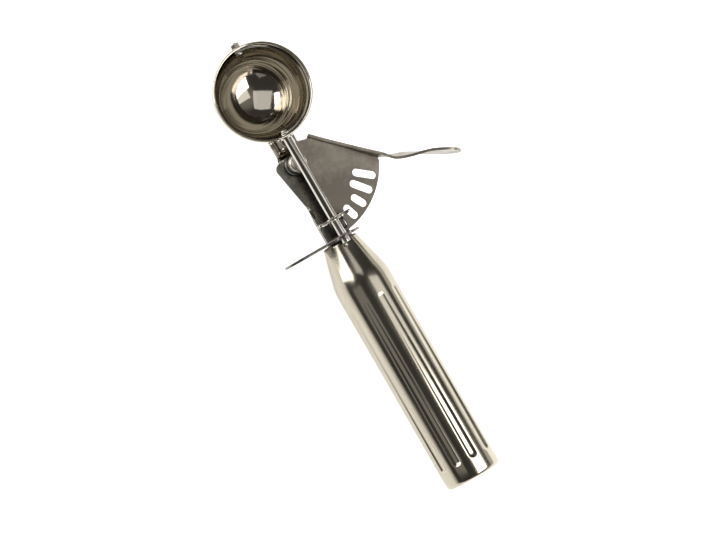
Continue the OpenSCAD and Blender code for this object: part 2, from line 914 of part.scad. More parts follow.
module stop_pin() {
    color("gray")
        ring_pin(stop_angle, web_z, plate_z - pin_short);
}

handle_tube();
handle_end_cap();
neck_plug();
tang_rivet();
finger_guard();
shank_frame();
bowl();
rod_bush();
tip_bush();
tip_pin();
tip_washer();
tip_nut();
sweep_blade();
blade_rod();
star_pinion();
pinion_sleeve();
rod_end_nut();
lever();
lever_stud();
pivot_rivet();
pivot_spacer();
pivot_washer();
return_spring();
spring_anchor();
stop_pin();
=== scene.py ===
"""Lever ice cream scoop: finished pieces, steels and a pale studio, built round the packed model."""

from math import acos, asin, atan2, cos, hypot, pi, radians, sin, sqrt, tan
from types import SimpleNamespace

import bmesh
import bpy
from bpy.props import FloatProperty, FloatVectorProperty, IntProperty, PointerProperty
from bpy.types import Operator, Panel, PropertyGroup
from mathutils import Matrix, Vector


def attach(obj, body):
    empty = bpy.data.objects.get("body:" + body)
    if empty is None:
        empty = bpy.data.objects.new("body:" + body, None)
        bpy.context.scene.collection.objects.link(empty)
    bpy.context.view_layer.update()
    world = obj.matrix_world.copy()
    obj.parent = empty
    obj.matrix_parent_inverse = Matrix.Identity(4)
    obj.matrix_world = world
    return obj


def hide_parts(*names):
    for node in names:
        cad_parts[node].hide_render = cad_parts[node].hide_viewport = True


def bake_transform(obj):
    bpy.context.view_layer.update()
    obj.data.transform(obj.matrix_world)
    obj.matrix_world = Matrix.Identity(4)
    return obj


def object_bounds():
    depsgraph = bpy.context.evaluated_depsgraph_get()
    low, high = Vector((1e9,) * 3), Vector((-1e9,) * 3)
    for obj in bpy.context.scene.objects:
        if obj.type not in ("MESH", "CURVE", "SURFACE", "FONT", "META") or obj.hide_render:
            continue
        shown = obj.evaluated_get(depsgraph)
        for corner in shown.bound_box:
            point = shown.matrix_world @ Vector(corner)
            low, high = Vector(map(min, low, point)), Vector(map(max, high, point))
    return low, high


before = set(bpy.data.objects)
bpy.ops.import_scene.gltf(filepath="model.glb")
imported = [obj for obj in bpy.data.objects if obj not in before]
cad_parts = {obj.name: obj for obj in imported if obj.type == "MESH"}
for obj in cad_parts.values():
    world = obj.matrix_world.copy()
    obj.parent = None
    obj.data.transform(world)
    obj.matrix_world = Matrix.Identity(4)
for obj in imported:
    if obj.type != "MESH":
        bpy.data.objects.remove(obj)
CAD_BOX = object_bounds()

bl_info = {
    "name": "Lever Ice Cream Scoop",
    "version": (1, 0, 0),
    "blender": (4, 5, 0),
    "location": "View3D > Sidebar > Scoop",
    "description": "Builds a steel lever ice cream scoop, piece by piece, and a plain studio",
    "category": "Object",
}

MM = 0.001
X, Y, Z = Vector((1, 0, 0)), Vector((0, 1, 0)), Vector((0, 0, 1))

GAP = 0.05 * MM                 # of play where one piece turns on another or passes through it
SEAT = 0.02 * MM                # between pieces that are fixed to each other
PAST = 1 * MM                   # that a cutter reaches past what it cuts
PLATE_DROP = 7 * MM             # from the rod's axis down to the middle of the lever's plate
GUARD_GAP = 0.4 * MM            # between the handle's mouth and the guard
ROD_PAST = 1.7 * MM             # that the rod reaches past the mouth, into the handle
BUSH_WALL = 0.6 * MM            # of the bush that the rod turns in
TIP_WALL = 0.8 * MM             # of the bush that the tip pin turns in
SMALL_EASE = 0.12 * MM          # rounding of the corners of small turned parts
MESH_TURN = 1.4                 # degrees that the slots are turned by; the star is turned 4 times that
POST_RING, POST = 6.9 * MM, 1 * MM      # of the stud and the pins: distance from the pivot, and radius
STUD_AT, LOWER_LEG_AT = -14, 276        # degrees about the pivot: the stud and the lower leg
LEG_GAP, LEG_SIDE = 2, 0.1 * MM         # degrees and distance that keep a leg clear of its post


# ---------------------------------------------------------------- properties

def linear(code):
    """An sRGB hex colour as linear red, green and blue."""
    parts = [int(code[i:i + 2], 16) / 255 for i in (1, 3, 5)]
    return [p / 12.92 if p <= 0.04045 else ((p + 0.055) / 1.055) ** 2.4 for p in parts]


def size(name, millimetres, text):
    return FloatProperty(name=name, description=text, default=millimetres * MM, unit="LENGTH")


def turn(name, degrees, text):
    return FloatProperty(name=name, description=text, default=radians(degrees), unit="ROTATION")


def count(name, number, text):
    return IntProperty(name=name, description=text, default=number, min=1)


def colour(name, code, text):
    return FloatVectorProperty(name=name, description=text, default=linear(code), subtype="COLOR",
                               size=3, min=0, max=1)


class ScoopHandle(PropertyGroup):
    """Sizes of the handle tube and its end cap."""
    diameter: size("Diameter", 25.4, "Outside diameter of the tube")
    length: size("Length", 115.2, "From the end face to the mouth")
    wall: size("Wall", 1.2, "Wall of the tube")
    mouth: size("Mouth", 16.4, "Diameter of the mouth, where the frame enters")
    neck_slope: turn("Neck slope", 15, "Slope of the tapered neck against the axis")
    shoulder: size("Shoulder radius", 26, "Rounding between the tube and its neck")
    lip: size("Lip", 1.6, "Rounding of the mouth's lip")
    end_round: size("End rounding", 2, "Rounding of the closed end's edge")
    cap_thickness: size("Cap thickness", 1.2, "Thickness of the end cap")
    flutes: count("Flutes", 10, "Grip flutes round the tube")
    flute_turn: turn("First flute", 6, "Turn of the first flute from the open side")
    flute_tool: size("Flute tool", 3.2, "Radius of the tool that presses a flute")
    flute_depth: size("Flute depth", 0.75, "Depth at the end of the handle")
    flute_runout: size("Run-out depth", 0.25, "Depth where a flute runs out towards the neck")
    flute_start: size("Flute start", 6.8, "From the end face to the flutes")
    flute_gap: size("Flute gap", 25.5, "From the end of the flutes to the mouth")


class ScoopBowl(PropertyGroup):
    """Sizes of the bowl, its bushes and the sweep blade."""
    inside: size("Inside diameter", 41, "Inside diameter of the bowl")
    wall: size("Wall", 0.7, "Wall of the bowl")
    rim: size("Rim height", 4, "Height of the rim above the blade's axis")
    bead: size("Rim bead", 0.5, "Radius of the bead round the rim")
    reach: size("Reach", 70.6, "From the handle's mouth to the bowl's centre")
    blade_width: size("Blade width", 5, "Width of the sweep blade")
    blade_thickness: size("Blade thickness", 0.8, "Thickness of the sweep blade")
    blade_gap: size("Blade gap", 0.35, "Gap between blade and bowl")
    blade_rest: turn("Blade at rest", 8, "Angle of the resting blade below the rod's plane")


class ScoopRod(PropertyGroup):
    """Sizes of the blade rod and what sits on it."""
    lift: size("Lift", 11.5, "Height of the rod's axis above the handle's axis")
    diameter: size("Diameter", 4, "Diameter of the rod")
    spigot: size("Spigot", 2.4, "Diameter of the rod's two thin ends")
    star: size("Star diameter", 16, "Tip diameter of the star pinion")
    star_root: size("Star root", 8.4, "Root diameter of the star pinion")
    star_thickness: size("Star thickness", 1.4, "Thickness of the star pinion")
    star_teeth: count("Star teeth", 8, "Teeth of the star pinion")
    nut: size("Nut", 3.8, "Width of the tip nut across its flats")


class ScoopLever(PropertyGroup):
    """Sizes of the lever, its pivot and its spring."""
    reach: size("Reach", 37.4, "From the handle's mouth to the pivot")
    sheet: size("Sheet", 1.2, "Thickness of lever, frame and guard")
    sector: size("Sector radius", 35.3, "Radius of the slotted sector")
    mesh: size("Mesh radius", 28.2, "Distance of the star pinion from the pivot")
    slot_width: size("Slot width", 3.4, "Width of a slot")
    slot_outer: size("Slot outer end", 34.2, "Distance from the pivot")
    slot_short: size("Short slots", 26.8, "Distance of their inner end from the pivot")
    slot_long: size("Long slots", 23.8, "Distance of their inner end from the pivot")
    slots: count("Slots", 5, "Slots in the sector, the last two of them long")
    fold: turn("Fold", 45, "Turn of the fold from the cross direction towards the handle")
    fold_distance: size("Fold distance", 12, "From the pivot to the flange's inner face")
    bend: size("Bend radius", 0.6, "Inner radius of the fold")
    flange: size("Flange height", 9.2, "Height of the flange at the thumb end")
    thumb_width: size("Thumb rest width", 15.6, "Width of the thumb rest")
    thumb_lean: turn("Thumb rest lean", 17, "Lean of the thumb rest near the flange")
    pivot: size("Pivot", 5, "Diameter of the rivet's shank")
    pivot_head: size("Pivot head", 8, "Diameter of the rivet's head")
    wire: size("Spring wire", 0.8, "Wire of the return spring")
    coil: size("Spring coil", 8.8, "Mean diameter of the return spring")


class ScoopFrame(PropertyGroup):
    """Sizes of the stamped frame and the finger guard."""
    channel: size("Channel", 11.2, "Width of the channel, outside")
    channel_height: size("Channel height", 4.7, "Height of the channel's flanges, outside")
    waist: size("Waist", 9.6, "Narrowest place of the web")
    shoulders: size("Shoulders", 16.8, "Width across the shoulders")
    trough: size("Trough", 11.4, "Width of the trough that carries the bowl")
    web_drop: size("Web depth", 0.4, "Depth of the web's top below the handle's axis")
    guard_reach: size("Guard reach", 26.3, "Reach of the finger tongue past the handle's axis")
    guard_width: size("Guard width", 15, "Width of the finger tongue")
    guard_round: size("Guard radius", 10.2, "Radius of the guard round the handle's mouth")


class ScoopFinish(PropertyGroup):
    """Colours of the steels and of the studio."""
    mirror: colour("Mirror steel", "#AFA899", "Buffed stainless steel of the handle")
    bowl: colour("Bowl steel", "#B8B1A3", "Buffed stainless steel of the bowl")
    satin: colour("Satin sheet", "#9F978A", "Tumbled sheet of the lever")
    shade: colour("Frame sheet", "#8F8C84", "Rolled sheet of the frame")
    bright: colour("Bright steel", "#C6C1B8", "Turned pins, nuts and rivets")
    wire: colour("Spring wire", "#6B6863", "Drawn wire of the spring")
    # Nearly black: partly the rough sheared edge, mostly shade painted on the cut edges and the small
    # pins.
    edge: colour("Sheared edge", "#2E2B27", "Edges of the punched sheets")
    plug: colour("Cast plug", "#3A3836", "Cast plug in the neck")
    floor: colour("Floor", "#F7F6F4", "Pale floor")


GROUPS = {
    "scoop_handle": ScoopHandle, "scoop_bowl": ScoopBowl, "scoop_rod": ScoopRod,
    "scoop_lever": ScoopLever, "scoop_frame": ScoopFrame, "scoop_finish": ScoopFinish,
}


# ---------------------------------------------------------------- modelling helpers

def object_mode():
    """Leaves edit mode and deselects everything."""
    if bpy.context.object and bpy.context.object.mode != "OBJECT":
        bpy.ops.object.mode_set(mode="OBJECT")
    bpy.ops.object.select_all(action="DESELECT")


def choose(piece):
    """Makes a piece the active one and the only one that is selected."""
    object_mode()
    piece.select_set(True)
    bpy.context.view_layer.objects.active = piece


def edit_mode(piece):
    """Opens a piece for editing, with everything selected."""
    choose(piece)
    bpy.ops.object.mode_set(mode="EDIT")
    bpy.ops.mesh.select_mode(type="VERT")
    bpy.ops.mesh.select_all(action="SELECT")


def select_where(piece, kind, test):
    """Selects the faces or edges of the open piece that pass a test."""
    bpy.ops.mesh.select_mode(type=kind)
    bpy.ops.mesh.select_all(action="DESELECT")
    mesh = bmesh.from_edit_mesh(piece.data)
    chosen = [item for item in (mesh.faces if kind == "FACE" else mesh.edges) if test(item)]
    if not chosen:
        raise RuntimeError(f"{piece.name}: nothing to select")
    for item in chosen:
        item.select_set(True)
    mesh.select_flush_mode()
    bmesh.update_edit_mesh(piece.data)


def move_selected(piece, place):
    """Moves each selected vertex of the open piece to where place puts it."""
    mesh = bmesh.from_edit_mesh(piece.data)
    for vertex in [v for v in mesh.verts if v.select]:
        vertex.co = place(vertex.co)
    bmesh.update_edit_mesh(piece.data)


def extrude(step):
    """Extrudes what is selected in the open piece, and moves it by step."""
    bpy.ops.mesh.extrude_region_move(TRANSFORM_OT_translate={"value": step})


def trace(name, points):
    """A wire through points: a plane is merged to one vertex, which is extruded from point to point."""
    object_mode()
    bpy.ops.mesh.primitive_plane_add(size=MM, location=points[0])
    bpy.ops.object.transform_apply(location=True)
    piece = bpy.context.object
    piece.name = piece.data.name = name
    edit_mode(piece)
    bpy.ops.mesh.merge(type="CENTER")
    for here, there in zip(points, points[1:]):
        extrude(there - here)
    return piece


def filled(name, points):
    """A flat face through points, left open for editing and selected."""
    piece = trace(name, points)
    bpy.ops.mesh.select_all(action="SELECT")
    bpy.ops.mesh.edge_face_add()
    return piece


def outward(piece):
    """Merges doubles, turns the normals outwards and leaves edit mode."""
    edit_mode(piece)
    bpy.ops.mesh.remove_doubles(threshold=1e-3 * MM)
    bpy.ops.mesh.normals_make_consistent(inside=False)
    object_mode()


def apply_modifier(piece, kind, **settings):
    """Adds a modifier with its settings and applies it."""
    choose(piece)
    bpy.ops.object.modifier_add(type=kind)
    modifier = piece.modifiers[-1]
    for key, value in settings.items():
        setattr(modifier, key, value)
    bpy.ops.object.modifier_apply(modifier=modifier.name)


def cut(piece, *cutters):
    """Cuts other shapes out of a piece and removes them."""
    for cutter in cutters:
        apply_modifier(piece, "BOOLEAN", operation="DIFFERENCE", solver="EXACT", object=cutter)
        bpy.data.objects.remove(cutter)


def ease_edges(piece, width, segments=3, angle=35):
    """Rounds every edge that is sharper than the angle, as tumbling does."""
    apply_modifier(piece, "BEVEL", width=width, segments=segments, limit_method="ANGLE",
                   angle_limit=radians(angle), use_clamp_overlap=True, harden_normals=False)


def drill(name, radius, start, axis, depth):
    """A plain cylinder to cut a hole with."""
    object_mode()
    bpy.ops.mesh.primitive_cylinder_add(
        vertices=64, radius=radius, depth=depth, location=start + axis * depth / 2,
        rotation=axis.to_track_quat("Z", "Y").to_euler())
    bpy.context.object.name = name
    return bpy.context.object


def rounded(points, radii, steps=5):
    """A closed outline whose corners are arcs of the given radii; 0 keeps a corner sharp."""
    result = []
    for i, (point, radius) in enumerate(zip(points, radii)):
        here = Vector(point)
        if radius == 0:
            result.append(here)
            continue
        back = (Vector(points[i - 1]) - here).normalized()
        ahead = (Vector(points[(i + 1) % len(points)]) - here).normalized()
        half = back.angle(ahead) / 2
        centre = here + (back + ahead).normalized() * radius / sin(half)
        first = (here + back * radius / tan(half) - centre).normalized()
        last = (here + ahead * radius / tan(half) - centre).normalized()
        result += [centre + first.slerp(last, k / steps) * radius for k in range(steps + 1)]
    return result


def arc(centre, radius, start, end, steps):
    """Points along an arc, both ends included."""
    turns = [start + (end - start) * k / steps for k in range(steps + 1)]
    return [Vector((centre[0] + radius * cos(t), centre[1] + radius * sin(t))) for t in turns]


def turned(name, profile, base, axis, steps=64):
    """A lathe part: a profile of (radius, station) points, spun about an axis through base.

    A profile that doesn't end on the axis both ways is closed first.
    """
    points = [base + X * radius + axis * station for radius, station in profile]
    piece = trace(name, points)
    if profile[0][0] != 0 or profile[-1][0] != 0:
        extrude(points[0] - points[-1])
    bpy.ops.mesh.select_all(action="SELECT")
    bpy.ops.mesh.remove_doubles(threshold=1e-4 * MM)
    bpy.ops.mesh.spin(steps=steps, angle=2 * pi, center=base, axis=axis)
    outward(piece)
    return piece


def collar(name, base, axis, inner, outer, low, high, eased, arcs=2, steps=64):
    """A turned ring from low to high, or a pin if inner is 0, with its two outer corners eased."""
    shape = [(inner, low), (outer, low), (outer, high), (inner, high)]
    return turned(name, rounded(shape, [0, *eased, 0], arcs), base, axis, steps)


def stamped(name, outline, place, thickness):
    """A flat part: an outline that is put in its place, filled and extruded."""
    piece = filled(name, [place(u, v) for u, v in outline])
    extrude(thickness)
    outward(piece)
    return piece


def hand_over(piece, body, slot, finish, *nodes, smooth=40, weighted=True):
    """Puts the place into the mesh, smooths, finishes, and lets the piece stand for its CAD nodes.

    A piece that is handed over with no body is left without one.
    """
    choose(piece)
    bpy.ops.object.transform_apply(location=True, rotation=True, scale=True)
    bpy.ops.object.shade_smooth_by_angle(angle=radians(smooth))
    if weighted:
        apply_modifier(piece, "WEIGHTED_NORMAL", keep_sharp=True, weight=50)
    piece.data.materials.clear()
    piece.data.materials.append(finish)
    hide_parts(*nodes)
    if body:
        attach(piece, body)
    object_mode()


def second_finish(piece, finish, test):
    """Gives a second finish to the faces of a piece that pass a test."""
    piece.data.materials.append(finish)
    for face in piece.data.polygons:
        if test(face):
            face.material_index = 1


# ---------------------------------------------------------------- steels

def add_node(tree, kind, inputs, **settings):
    """Adds a node, sets it, and fills its inputs with values or links."""
    node = tree.nodes.new(kind)
    for key, value in settings.items():
        setattr(node, key, value)
    for key, value in inputs.items():
        if isinstance(value, bpy.types.NodeSocket):
            tree.links.new(value, node.inputs[key])
        else:
            node.inputs[key].default_value = value
    return node


def steel(name, tint, roughness, spread, lines, line_depth, wave, wave_depth, stain=0.1,
          ring_depth=0, painted_shade=0, centre=(0, 0, 0)):
    """A metal whose roughness, tint and surface vary a little, from its grain to its slow waves.

    Spacings and depths are in millimetres: lines is the spacing of the grain along X, Y and Z, wave
    that of the slow waves, and ring_depth the depth of the lathe rings round an upright axis through
    centre. stain is how much darker the stained parts and the painted shade are, and the last but one
    argument how much shade is painted onto the sheet round centre, darkest close to it; both from 0 to
    1.
    """
    made = bpy.data.materials.get(name)
    if made:
        return made
    # Shade painted onto the sheet round centre: full up to the first distance, none past the second.
    painted_shade_full, painted_shade_none = 7 * MM, 26 * MM
    material = bpy.data.materials.new(name)
    material.use_nodes = True
    tree = material.node_tree
    tree.nodes.clear()
    place = add_node(tree, "ShaderNodeTexCoord", {}).outputs["Object"]
    grain_at, wave_at = [
        add_node(tree, "ShaderNodeMapping",
                 {"Vector": place, "Scale": [1 / (step * MM) for step in spacing]}).outputs[0]
        for spacing in (lines, wave)]
    grain = add_node(tree, "ShaderNodeTexNoise",
                     {"Vector": grain_at, "Scale": 1, "Detail": 3, "Roughness": 0.6})
    waves = add_node(tree, "ShaderNodeTexNoise",
                     {"Vector": wave_at, "Scale": 1, "Detail": 1, "Roughness": 0.4})
    smear = add_node(tree, "ShaderNodeTexNoise",
                     {"Vector": wave_at, "Scale": 1.3, "Detail": 5, "Roughness": 0.7})
    mottle = add_node(tree, "ShaderNodeMapRange",
                      {"Value": smear.outputs["Fac"], "From Min": 0.32, "From Max": 0.68})
    # Painted shade: the sheet's tint is darkened near centre, fading out with distance.
    reach = add_node(tree, "ShaderNodeVectorMath", {0: place, 1: centre}, operation="DISTANCE")
    painted_shade_mask = add_node(tree, "ShaderNodeMapRange",
                      {"Value": reach.outputs["Value"], "From Min": painted_shade_full,
                       "From Max": painted_shade_none, "To Min": painted_shade, "To Max": 0},
                      interpolation_type="SMOOTHSTEP")
    # Random stains and the painted shade together pick the darker tint.
    stain_and_painted_shade = add_node(tree, "ShaderNodeMath", {0: mottle.outputs[0], 1: painted_shade_mask.outputs[0]},
                       operation="ADD", use_clamp=True)
    dark = [part * (1 - stain) for part in tint]
    # Inputs 6 and 7 of a Mix node are its two colours, and output 2 is the colour that it gives.
    shade = add_node(tree, "ShaderNodeMix",
                     {0: stain_and_painted_shade.outputs[0], 6: (*tint, 1), 7: (*dark, 1)}, data_type="RGBA")
    rough = add_node(tree, "ShaderNodeMapRange",
                     {"Value": smear.outputs["Fac"], "From Min": 0.3, "From Max": 0.7,
                      "To Min": roughness, "To Max": roughness + spread})
    slow = add_node(tree, "ShaderNodeBump",
                    {"Height": waves.outputs["Fac"], "Strength": 1, "Distance": wave_depth * MM})
    fine = add_node(tree, "ShaderNodeBump",
                    {"Height": grain.outputs["Fac"], "Strength": 1, "Distance": line_depth * MM,
                     "Normal": slow.outputs["Normal"]})
    normal = fine.outputs["Normal"]
    if ring_depth:
        normal = lathe_rings(tree, place, centre, ring_depth * MM, normal)
    surface = add_node(tree, "ShaderNodeBsdfPrincipled",
                       {"Base Color": shade.outputs[2], "Metallic": 1,
                        "Roughness": rough.outputs["Result"], "Normal": normal})
    add_node(tree, "ShaderNodeOutputMaterial", {"Surface": surface.outputs["BSDF"]})
    return material


def lathe_rings(tree, place, centre, depth, normal):
    """Rings of uneven spacing round an upright axis, faint at the middle and deep at the wall."""
    spacing, faint, faint_to, deep_from = 1.1 * MM, 0.12, 10 * MM, 14 * MM
    aside = add_node(tree, "ShaderNodeVectorMath", {0: place, 1: centre}, operation="SUBTRACT")
    flat = add_node(tree, "ShaderNodeVectorMath", {0: aside.outputs[0], 1: (1, 1, 0)},
                    operation="MULTIPLY")
    reach = add_node(tree, "ShaderNodeVectorMath", {0: flat.outputs[0]}, operation="LENGTH")
    rings = add_node(tree, "ShaderNodeTexNoise",
                     {"W": reach.outputs["Value"], "Scale": 1 / spacing, "Detail": 2},
                     noise_dimensions="1D")
    wall = add_node(tree, "ShaderNodeMapRange",
                    {"Value": reach.outputs["Value"], "From Min": faint_to, "From Max": deep_from,
                     "To Min": faint, "To Max": 1}, interpolation_type="SMOOTHSTEP")
    height = add_node(tree, "ShaderNodeMath", {0: rings.outputs["Fac"], 1: wall.outputs[0]},
                      operation="MULTIPLY")
    bump = add_node(tree, "ShaderNodeBump", {"Height": height.outputs[0], "Strength": 1,
                                             "Distance": depth, "Normal": normal})
    return bump.outputs["Normal"]


def steels(context):
    """The finishes of the scoop, by name."""
    tint = context.scene.scoop_finish
    at = stations(context)
    bowl = (0, at.bowl, 0)
    # Centre of the shade painted onto the lever's sheet.
    painted_shade_centre = (5 * MM, at.star, at.plate_top)       # just beside the star pinion
    return {
        # 18/8 stainless tube, drawn and buffed to a mirror: long faint lines along the draw.
        "buffed_tube": steel("buffed_stainless_tube", tint.mirror, 0.1, 0.12,
                             (0.9, 60, 0.9), 0.004, (6, 60, 6), 0.05),
        # 18/8 stainless sheet, deep drawn and buffed: a mirror with a faint roundness error.
        "buffed_bowl": steel("buffed_stainless_bowl", tint.bowl, 0.05, 0.06,
                             (6, 6, 0.7), 0.0016, (14, 14, 6), 0.012, 0.06,
                             ring_depth=0.12, centre=bowl),
        # Ground and polished stainless bar: crisp lines of light along it.
        "polished_bar": steel("polished_stainless_bar", tint.bright, 0.08, 0.06,
                              (0.5, 8, 0.5), 0.001, (9, 30, 9), 0.004),
        # Cold-rolled stainless sheet, stamped and tumbled: satin, with a fine grain every way, and
        # shade painted on beside the star pinion.
        "tumbled_sheet": steel("tumbled_stainless_sheet", tint.satin, 0.3, 0.12,
                               (0.8, 0.8, 0.8), 0.03, (12, 12, 12), 0.09, 0.5,
                               painted_shade=0.8, centre=painted_shade_centre),
        # The frame's heavier sheet as it left the rolls: darker and duller.
        "rolled_sheet": steel("rolled_stainless_sheet", tint.shade, 0.22, 0.12,
                              (0.8, 3, 0.8), 0.02, (10, 10, 10), 0.08, 0.5),
        # Edges that the punch sheared: torn and rough, and nearly black as painted shade; the small
        # pins between frame and lever take it too.
        "cut_edge_painted_shade": steel("cut_sheet_edge_painted_shade", tint.edge, 0.5, 0.15,
                              (0.5, 0.5, 0.5), 0.02, (4, 4, 4), 0.02, 0.3),
        # Bright turned steel: small pins, nuts, washers and rivet heads.
        "turned_steel": steel("turned_steel", tint.bright, 0.2, 0.08,
                              (0.8, 0.8, 0.3), 0.004, (10, 10, 10), 0.004),
        # Hard-drawn spring wire with its draw lines.
        "spring_wire": steel("drawn_spring_wire", tint.wire, 0.28, 0.08,
                             (0.5, 0.5, 0.5), 0.003, (10, 10, 10), 0.002),
        # Die-cast zinc plug, dark with age: a coarse dull skin.
        "cast_plug": steel("cast_zinc_plug", tint.plug, 0.6, 0.15,
                           (0.8, 0.8, 0.8), 0.05, (6, 6, 6), 0.05, 0.3),
    }


# ---------------------------------------------------------------- stations that pieces share

def stations(context):
    """Places along Y and Z, and radii of the bowl and the blade, that several pieces share."""
    scene = context.scene
    handle, bowl, rod, lever = scene.scoop_handle, scene.scoop_bowl, scene.scoop_rod, scene.scoop_lever
    web_top = -scene.scoop_frame.web_drop
    plate = rod.lift - PLATE_DROP - lever.sheet / 2
    blade_out = bowl.inside / 2 - bowl.blade_gap
    return SimpleNamespace(
        mouth=handle.length,
        pivot=handle.length + lever.reach,
        bowl=handle.length + bowl.reach,
        star=handle.length + lever.reach - lever.mesh,
        guard=handle.length + GUARD_GAP,
        rod_end=handle.length - ROD_PAST,
        plate=plate,
        plate_top=plate + lever.sheet,
        web_top=web_top,
        web=web_top - lever.sheet,
        bowl_in=bowl.inside / 2,
        bowl_out=bowl.inside / 2 + bowl.wall,
        blade_out=blade_out,
        blade_in=blade_out - bowl.blade_thickness,
    )


def leg_clearance(lever):
    """Angle at the pivot between a post and the spring's leg beside it."""
    return asin((POST + lever.wire / 2 + LEG_SIDE) / POST_RING)


# ---------------------------------------------------------------- handle

class SCOOP_OT_handle(Operator):
    """Fluted handle tube with its tapered neck, and the disc that closes its end."""
    bl_idname = "scoop.handle"
    bl_label = "Handle"

    SOFT_EDGE = 0.1 * MM            # that the sheet rolls over by at a flute's edge
    SPARE = 0.6 * MM                # of tube at both ends of the flutes that is also finely divided
    FLUTE_END = 4.2 * MM            # at each end of the flutes, that is divided most finely
    END_PARTS, MIDDLE_PARTS = 20, 24
    INNER_BEVEL = 1 * MM
    CAP_GAP, CAP_DISH = 0.04 * MM, 0.25 * MM        # round the cap, and the depth of its dished middle
    DISH_FLAT, DISH_EDGE = 0.72, 0.78               # shares of the cap's radius

    def neck(self, sizes, inset):
        """Outline of the shoulder and neck, moved inwards: from the straight tube to the lip."""
        radius, end = sizes.diameter / 2, sizes.length - sizes.lip
        rise = sizes.shoulder * (1 - cos(sizes.neck_slope))
        cone = (radius - rise - sizes.mouth / 2) / tan(sizes.neck_slope)
        start = end - cone - sizes.shoulder * sin(sizes.neck_slope)
        bend = arc((radius - sizes.shoulder, start), sizes.shoulder - inset, 0, sizes.neck_slope, 20)
        return bend + [Vector((sizes.mouth / 2 - inset / cos(sizes.neck_slope), end))]

    def flute_depth(self, sizes, point):
        """Depth of the flute pressed in at a point of the tube."""
        pitch = 2 * pi / sizes.flutes
        around = (atan2(point.x, point.z) - sizes.flute_turn + pitch / 2) % pitch - pitch / 2
        first = sizes.flute_start + sizes.flute_tool
        last = sizes.length - sizes.flute_gap - sizes.flute_tool
        along = min(max(point.y, first), last)
        fall = sizes.flute_depth - sizes.flute_runout
        depth = sizes.flute_depth - fall * (along - first) / (last - first)
        aside = around * sizes.diameter / 2
        if abs(aside) >= sizes.flute_tool:
            return 0
        reach = sizes.flute_tool ** 2 - aside ** 2 - (point.y - along) ** 2
        pressed = sqrt(max(reach, 0)) - (sizes.flute_tool - depth)
        return (pressed + sqrt(pressed ** 2 + self.SOFT_EDGE ** 2)) / 2

    def divisions(self, sizes):
        """Stations along the fluted part, close together where the flutes start and end."""
        first, last = sizes.flute_start - self.SPARE, sizes.length - sizes.flute_gap + self.SPARE
        ends, middle = self.FLUTE_END, self.MIDDLE_PARTS
        fine = [first + ends * k / self.END_PARTS for k in range(self.END_PARTS + 1)]
        coarse = [first + ends + (last - first - 2 * ends) * k / middle for k in range(1, middle)]
        return fine + coarse + [first + last - y for y in reversed(fine)]

    def profile(self, sizes, cap_radius):
        """Outline of the tube's wall, from the closed end along the outside, and back inside."""
        radius, bore = sizes.diameter / 2, sizes.diameter / 2 - sizes.wall
        points = arc((cap_radius, sizes.end_round), sizes.end_round, -pi / 2, 0, 10)
        points += [Vector((radius, y)) for y in self.divisions(sizes)] + self.neck(sizes, 0)
        crest = acos(1 - sizes.wall / cos(sizes.neck_slope) / sizes.lip)
        lip_at = (sizes.mouth / 2 - sizes.lip, sizes.length - sizes.lip)
        points += arc(lip_at, sizes.lip, 0, crest, 8)[1:]
        points += reversed(self.neck(sizes, sizes.wall))
        points += [Vector((bore, sizes.cap_thickness + self.INNER_BEVEL)),
                   Vector((bore - self.INNER_BEVEL, sizes.cap_thickness)),
                   Vector((cap_radius, sizes.cap_thickness))]
        return points

    def press_flutes(self, tube, sizes):
        """Presses the flutes into the outside of the tube."""
        outside = (sizes.diameter - sizes.wall) / 2
        group = tube.vertex_groups.new(name="flutes")
        for vertex in tube.data.vertices:
            if hypot(vertex.co.x, vertex.co.z) > outside and vertex.co.y > sizes.end_round:
                share = self.flute_depth(sizes, vertex.co) / sizes.flute_depth
                group.add([vertex.index], share, "REPLACE")
        apply_modifier(tube, "DISPLACE", strength=-sizes.flute_depth, mid_level=0, direction="NORMAL",
                       vertex_group="flutes")

    def execute(self, context):
        sizes = context.scene.scoop_handle
        finish = steels(context)["buffed_tube"]
        cap_radius = sizes.diameter / 2 - sizes.end_round
        tube = turned("handle_tube_fluted", self.profile(sizes, cap_radius), Vector(), Y, steps=320)
        self.press_flutes(tube, sizes)
        hand_over(tube, "scoop_body", "polished_handle", finish, "handle_tube", weighted=False)

        edge, back = cap_radius - self.CAP_GAP, sizes.cap_thickness
        outline = [(0, self.CAP_DISH), (cap_radius * self.DISH_FLAT, self.CAP_DISH),
                   (cap_radius * self.DISH_EDGE, 0), (edge, 0), (edge, back), (0, back)]
        radii = [0, 1.2 * MM, 0.6 * MM, 0.25 * MM, 0, 0]
        cap = turned("handle_end_disc", rounded(outline, radii), Vector(), Y, steps=128)
        hand_over(cap, "scoop_body", "polished_handle", finish, "handle_end_cap")
        return {"FINISHED"}


# ---------------------------------------------------------------- guard and frame

